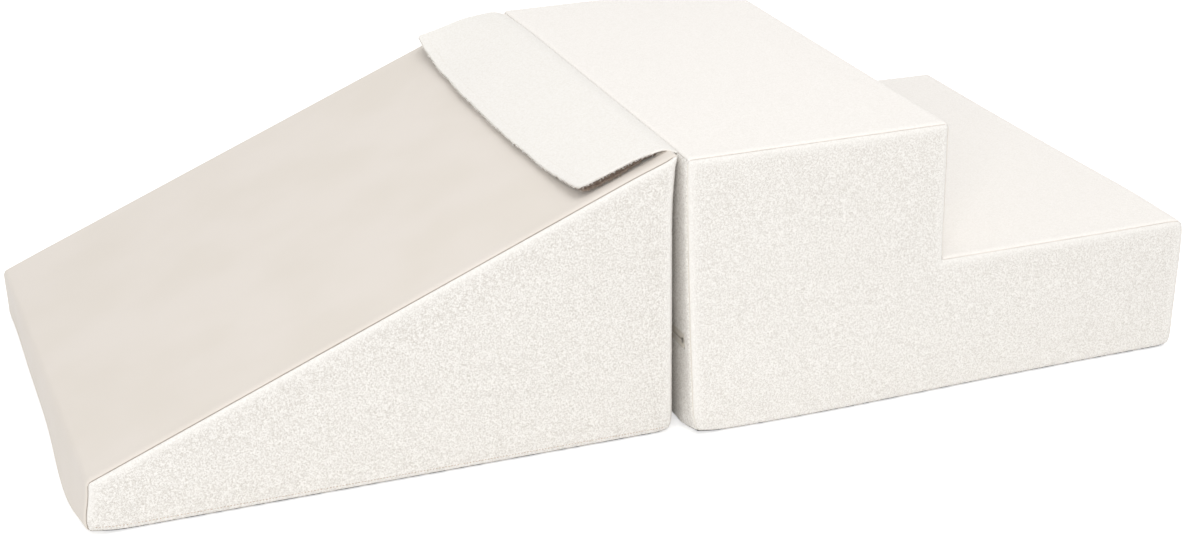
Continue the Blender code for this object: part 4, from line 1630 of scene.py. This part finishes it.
    def tapes(self) -> None:
        """Make the hook tape under the free edge and the loop tape that it grips on the slope."""
        whole = self.line.length
        stop = whole - self.strip_edge
        rows = graded([self.strip_end - self.half, self.half - self.strip_end], 0.004)
        depth = self.thickness + 0.0010 + 2 * self.clearance + self.strip_thickness

        def under(column: float, row: float) -> tuple[Vector, Vector]:
            """Point and normal of the hook tape's lower face."""
            point, _, normal = self.surface(column, row, 0.0)
            return point - normal * depth, -normal

        def nap(column: float, row: float, point: Vector) -> float:
            """Height of the tapes' nap."""
            return 0.00012 * noise.noise(point / 0.0016)

        cloth = cloth_sheet(graded([stop - self.strip_width, stop], 0.002), rows, under, nap, None,
                            self.strip_thickness - 0.0003)
        fitted(new_piece("flap_hook_tape", cloth, self.finishes.hooks.material()), "flap", "hook_tape",
               ["flap_hook_strip"])
        slide = Wall(self.wedge, *SLIDE_RUN)
        rise = slide.lift(self.wedge.sizes.half_width, SEAM, None)
        begin = slide.path[0][0] - slide.path[1][5] + self.reach - self.strip_edge - self.strip_width
        offset = (self.low + self.high) / 2 - self.wedge.centre_y

        def on_slope(column: float, row: float) -> tuple[Vector, Vector]:
            """Point and normal of the slope under the loop tape."""
            return slide.place(column, row + offset)

        def tape(column: float, row: float, point: Vector) -> float:
            """Height of the loop tape's upper face."""
            return (rise(column, row + offset, point) + self.clearance + self.strip_thickness
                    + nap(column, row, point))

        cloth = cloth_sheet(graded([begin, begin + self.strip_width], 0.002), rows, on_slope, tape, None,
                            self.strip_thickness)
        fitted(new_piece("wedge_loop_tape", cloth, self.finishes.loops.material()), "wedge", "loop_tape",
               ["wedge_loop_strip"])

    def stitches(self) -> None:
        """Make the row of stitches that holds the flap's hem."""
        whole, half, inset = self.line.length, self.half, self.stitch_inset
        pitch, begin, sunk = 0.0036, 0.012, 0.0002
        spots = []
        for index in range(int((2 * half - 2 * inset) / pitch)):
            point, _, normal = self.surface(whole - inset, inset - half + (index + 0.5) * pitch)
            spots.append((point - normal * sunk, Vector((0.0, 1.0, 0.0))))
        for side in Side:
            for index in range(int((whole - inset - begin) / pitch)):
                along = begin + (index + 0.5) * pitch
                point, direction, normal = self.surface(along, side.value * (half - inset))
                spots.append((point - normal * sunk, direction))
        row = stitch_row("flap_hem_stitches", spots, self.finishes.thread, (0.0024, 0.0005, 0.0005))
        fitted(row, "flap", "boucle")

    def build(self) -> None:
        """Make the flap and its tapes."""
        self.tapes()
        self.face()
        self.lining()
        self.loops()
        self.stitches()


@dataclass
class ZipFastener:
    """The zip in the back of a module.

    Attributes:
        block: the module's block.
        body: the body that its fixed pieces ride on.
        face_x: place of the back's plain face.
        outward: which way along X the back faces.
        finishes: the set's finishes.
        nodes: the frame's solids by name.
        tape_depth: depth of the tapes behind the back's face.
        tape_start: distance of their inner edges from the zip's middle.
        coil_middle: distance of each coil's middle from the zip's middle.
        coil_half: height of a coil's turn.
        coil_depth: depth of a coil's turn.
        coil_pitch: length of one turn along the zip.
        wire: thickness of the coil's wire.
        stop_length: length of the zip that the stop takes.
        tucked: how far the tapes run under the window's edge.
    """

    block: Block
    body: str
    face_x: float
    outward: int
    finishes: Wardrobe
    nodes: dict[str, bpy.types.Object]
    tape_depth: float = 0.0011
    tape_start: float = 0.0007
    coil_middle: float = 0.0014
    coil_half: float = 0.0009
    coil_depth: float = 0.0008
    coil_pitch: float = 0.0018
    wire: float = 0.0006
    stop_length: float = 0.0046
    tucked: float = 0.0004

    def build(self) -> None:
        """Make the tapes, the coils, the stop and the slider."""
        name, sizes = self.block.name, self.block.sizes
        reach = sizes.half_width - sizes.zip_end - sizes.clearance
        under = sizes.clearance + self.tucked
        rows = graded([-reach - under, reach + under], 0.005)
        for word, side in (("lower", -1), ("upper", 1)):
            def place(column: float, row: float) -> tuple[Vector, Vector]:
                """Point and normal of a tape."""
                point = Vector((self.face_x - self.outward * self.tape_depth, self.block.centre_y + row,
                                sizes.zip_height + side * column))
                return point, Vector((self.outward, 0.0, 0.0))

            def ribs(column: float, row: float, point: Vector) -> float:
                """Height of the tape's woven ribs."""
                return 0.00008 * math.sin(column / 0.0011 * math.pi)

            columns = graded([self.tape_start, sizes.zip_window / 2 - sizes.clearance + under], 0.0007)
            tape = cloth_sheet(columns, rows, place, ribs, None, 0.0004)
            piece = new_piece(f"{name}_zip_{word}_tape", tape, self.finishes.zip_tape.material())
            fitted(piece, self.body, "zip_tape", [f"{name}_zip_half_{word}"])
            coil = strands(f"{name}_zip_{word}_coil", [self.coil(side, reach)], self.wire, self.finishes.coil)
            fitted(coil, self.body, "zip_tape")
        for word, body in (("stop", self.body), ("slider", f"{name}_slider")):
            self.metal_piece(f"{name}_zip_{word}", body)

    def coil(self, side: int, reach: float) -> list[Vector]:
        """The route of one coil's turns."""
        turns, steps, proud = int((2 * reach - self.stop_length) / self.coil_pitch), 8, 0.0003
        route, begin = [], self.block.centre_y - reach + self.stop_length
        for index in range(turns * steps):
            angle = 2 * math.pi * index / steps
            depth = self.tape_depth - proud + self.coil_depth / 2 * math.cos(angle)
            level = self.coil_middle + self.coil_half / 2 * math.sin(angle)
            route.append(Vector((self.face_x - self.outward * depth,
                                 begin + self.coil_pitch * index / steps,
                                 self.block.sizes.zip_height + side * level)))
        return route

    def metal_piece(self, node: str, body: str) -> None:
        """Make a metal piece with softened edges from the solid of the same name."""
        solid = bmesh.new()
        solid.from_mesh(self.nodes[node].data)
        bmesh.ops.remove_doubles(solid, verts=solid.verts, dist=0.00001)
        bmesh.ops.dissolve_limit(solid, angle_limit=math.radians(2), verts=solid.verts, edges=solid.edges)
        sharp = [edge for edge in solid.edges if edge.calc_face_angle(0.0) > math.radians(50)]
        bmesh.ops.bevel(solid, geom=sharp, offset=0.00016, offset_type="OFFSET", segments=2, profile=0.5,
                        affect="EDGES", material=-1, clamp_overlap=True)
        piece = new_piece(node + "_metal", solid, self.finishes.metal.material())
        fitted(piece, body, "zip_metal", [node])


@dataclass
class Studio:
    """Plain floor, soft light and the photograph's camera.

    Attributes:
        eye: the camera's place.
        heading: angle that it looks to the right of straight ahead.
        dip: angle that it looks down.
        lean: angle that it is turned about its own line of sight.
        lens: focal length in millimetres on a 36 mm frame.
    """

    eye: Vector = field(default_factory=lambda: Vector((-0.8443, -2.2968, 1.0852)))
    heading: float = math.radians(20.84)
    dip: float = math.radians(22.48)
    lean: float = math.radians(-0.59)
    lens: float = 70.75

    def camera(self) -> None:
        """Set the camera where the photograph was taken from."""
        data = bpy.data.cameras.new("photo_camera")
        data.lens, data.sensor_width = self.lens, 36.0
        data.clip_start, data.clip_end = 0.05, 50.0
        camera = bpy.data.objects.new("photo_camera", data)
        turned = (Matrix.Rotation(-self.heading, 4, "Z") @ Matrix.Rotation(math.pi / 2 - self.dip, 4, "X")
                  @ Matrix.Rotation(self.lean, 4, "Z"))
        camera.matrix_world = Matrix.Translation(self.eye) @ turned
        bpy.context.scene.collection.objects.link(camera)
        bpy.context.scene.camera = camera

    def world(self) -> None:
        """White to the camera and to reflections, soft even light on the set."""
        world = bpy.data.worlds.new("soft_room")
        bpy.context.scene.world = world
        world.use_nodes = True
        bench = Bench(world.node_tree)
        plain = world.node_tree.nodes["Background"]
        seen = bench.node("LightPath")
        direct = bench.sum("MAXIMUM", seen.outputs["Is Camera Ray"],
                           bench.sum("MAXIMUM", seen.outputs["Is Glossy Ray"],
                                     seen.outputs["Is Transmission Ray"]))
        plain.inputs["Color"].default_value = (1.0, 1.0, 1.0, 1.0)
        bench.feed(plain.inputs["Strength"], bench.ramp(direct, 0.0, 1.0, 0.66, 1.0))

    def floor(self) -> None:
        """A wide pale floor that reads as white and keeps a faint shadow."""
        solid = bmesh.new()
        bmesh.ops.create_grid(solid, x_segments=1, y_segments=1, size=12.0)
        bmesh.ops.translate(solid, verts=solid.verts, vec=(0.0, 0.0, -0.0006))
        made = bpy.data.materials.new("pale_floor")
        made.use_nodes = True
        bench = Bench(made.node_tree)
        shader = made.node_tree.nodes["Principled BSDF"]
        shader.inputs["Base Color"].default_value = (0.95, 0.95, 0.95, 1.0)
        shader.inputs["Roughness"].default_value = 1.0
        shader.inputs["Specular IOR Level"].default_value = 0.0
        shader.inputs["Emission Color"].default_value = (1.0, 1.0, 1.0, 1.0)
        seen = bench.node("LightPath").outputs["Is Camera Ray"]
        bench.feed(shader.inputs["Emission Strength"], bench.sum("MULTIPLY", seen, 0.55))
        floor = new_piece("floor", solid, made)

    def lamp(self, name: str, place: tuple[float, float, float], aim: tuple[float, float, float],
             size: float, power: float) -> None:
        """Hang a square soft lamp.

        Args:
            name: the lamp's name.
            place: where it hangs.
            aim: the point that it faces.
            size: length of its sides.
            power: its power in watts.
        """
        data = bpy.data.lights.new(name, "AREA")
        data.size, data.energy = size, power
        lamp = bpy.data.objects.new(name, data)
        lamp.location = place
        lamp.rotation_euler = (Vector(aim) - Vector(place)).to_track_quat("-Z", "Y").to_euler()
        bpy.context.scene.collection.objects.link(lamp)

    def build(self) -> None:
        """Set up camera, floor and light."""
        bpy.context.scene.view_settings.view_transform = "Standard"
        self.camera()
        self.world()
        self.floor()
        self.lamp("overhead", (0.5, -0.6, 4.0), (0.0, 0.0, 0.1), 2.5, 42.0)
        self.lamp("front_left", (-2.62, -5.14, 2.2), (0.1, 0.0, 0.1), 2.2, 100.0)


def corners_of(*spots: tuple[float, float]) -> list[Vector]:
    """The corners of an outline."""
    return [Vector(spot) for spot in spots]


def wedge_fullness(sizes: SetSizes) -> tuple[Fullness, ...]:
    """Where the slide's cover leaves its plain outline: plump nose, crisp ridge, soft foot."""
    near, nose = (sizes.shift - sizes.width) / 2, sizes.nose_x
    back, ridge = sizes.wedge_back_x, sizes.wedge_height
    return tuple(Fullness(*place) for place in (
        # the nose: plump low down, drawn in at its far end, turned up at its near foot
        ((nose, near + 0.075, 0.003), (0.050, 0.140, 0.030), (-0.0105, 0.0, 0.0)),
        ((nose, -near - 0.040, 0.0), (0.050, 0.120, 0.060), (0.0035, 0.0, 0.0)),
        ((nose, near, 0.0), (0.022, 0.045, 0.016), (0.0040, 0.0, 0.0042)),
        # the ridge: crisp towards its near end, and leaning back there
        ((back - 0.0027, near, ridge - 0.0040), (0.0046, 0.400, 0.0046), (0.0034, 0.0, 0.0034)),
        ((back, near, ridge), (0.030, 0.150, 0.036), (0.0040, 0.0, 0.0)),
        # the back's near foot, rounded, and the ridge's far end, lower
        ((back, near, 0.0), (0.010, 0.050, 0.010), (-0.0022, 0.0, 0.0024)),
        ((back, -near + sizes.shift, ridge), (0.040, 0.120, 0.040), (0.0, 0.0, -0.0032)),
    ))


def steps_fullness(sizes: SetSizes) -> tuple[Fullness, ...]:
    """Where the steps' cover leaves its plain outline: leaning back edge, full low step."""
    near, back = -(sizes.shift + sizes.width) / 2, sizes.steps_back_x
    end, low = sizes.steps_end_x, sizes.low_step_height
    return tuple(Fullness(*place) for place in (
        # the back: leaning out at its top, over a side that swells near the floor
        ((back, near, sizes.steps_height), (0.045, 0.400, 0.140), (-0.0028, 0.0, 0.0)),
        ((back + 0.120, near, 0.0), (0.220, 0.060, 0.100), (0.0, -0.0100, 0.0)),
        # its near foot: set back and rounded, with a small bulge beside it
        ((back, near, 0.0), (0.050, 0.200, 0.120), (0.0016, 0.0, 0.0)),
        ((back, near, 0.0), (0.020, 0.026, 0.018), (0.0042, 0.0, 0.0028)),
        ((back, near + 0.024, 0.0), (0.030, 0.015, 0.030), (-0.0028, 0.0, 0.0)),
        # the low step's end: rounded corners and a full face
        ((end, near, low), (0.010, 0.070, 0.010), (-0.0020, 0.0, -0.0018)),
        ((end, near, 0.0), (0.010, 0.070, 0.010), (-0.0018, 0.0, 0.0018)),
        ((end, near, low), (0.050, 0.220, 0.075), (0.0040, 0.0, 0.0008)),
        ((end, near, low / 2), (0.050, 0.280, 0.120), (0.0034, 0.0, 0.0)),
        # the low tread: full at its far side
        ((sizes.riser_x + 0.110, -near - 0.010, low), (0.110, 0.080, 0.030), (0.0, 0.0, 0.0026)),
    ))


def main() -> None:
    """Build the set on its frame, one sub-assembly after another."""
    logging.basicConfig(level=logging.INFO, format="%(message)s")
    for leftover in list(bpy.data.objects):
        bpy.data.objects.remove(leftover, do_unlink=True)
    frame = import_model()
    sizes, finishes = SetSizes(), Wardrobe()
    Studio().build()
    wedge = Block("wedge", corners_of((sizes.nose_x, 0.0), (sizes.wedge_back_x, 0.0),
                                      (sizes.wedge_back_x, sizes.wedge_height),
                                      (sizes.nose_x, sizes.nose_height)),
                  (0.0, 0.0, 0.0015, 0.0022), sizes.shift / 2, sizes, fullness=wedge_fullness(sizes),
                  hem=0.0072)
    # the steps' sides get a weaker painted highlight beside their upper seams
    steps = Block("steps", corners_of((sizes.steps_back_x, 0.0), (sizes.steps_end_x, 0.0),
                                      (sizes.steps_end_x, sizes.low_step_height),
                                      (sizes.riser_x, sizes.low_step_height),
                                      (sizes.riser_x, sizes.steps_height),
                                      (sizes.steps_back_x, sizes.steps_height)),
                  (0.0, 0.0022, 0.0022, 0.0022, 0.0022, 0.0), -sizes.shift / 2, sizes,
                  fullness=steps_fullness(sizes), calm_edge=0.70, calm_reach=0.0080, shown=0.88)
    WedgeCover(wedge, "wedge", finishes).build()
    StepsCover(steps, "steps", finishes).build()
    Flap(wedge, steps, finishes).build()
    ZipFastener(wedge, "wedge", sizes.wedge_back_x, 1, finishes, frame["nodes"]).build()
    ZipFastener(steps, "steps", sizes.steps_back_x, -1, finishes, frame["nodes"]).build()


if __name__ == "__main__":
    main()
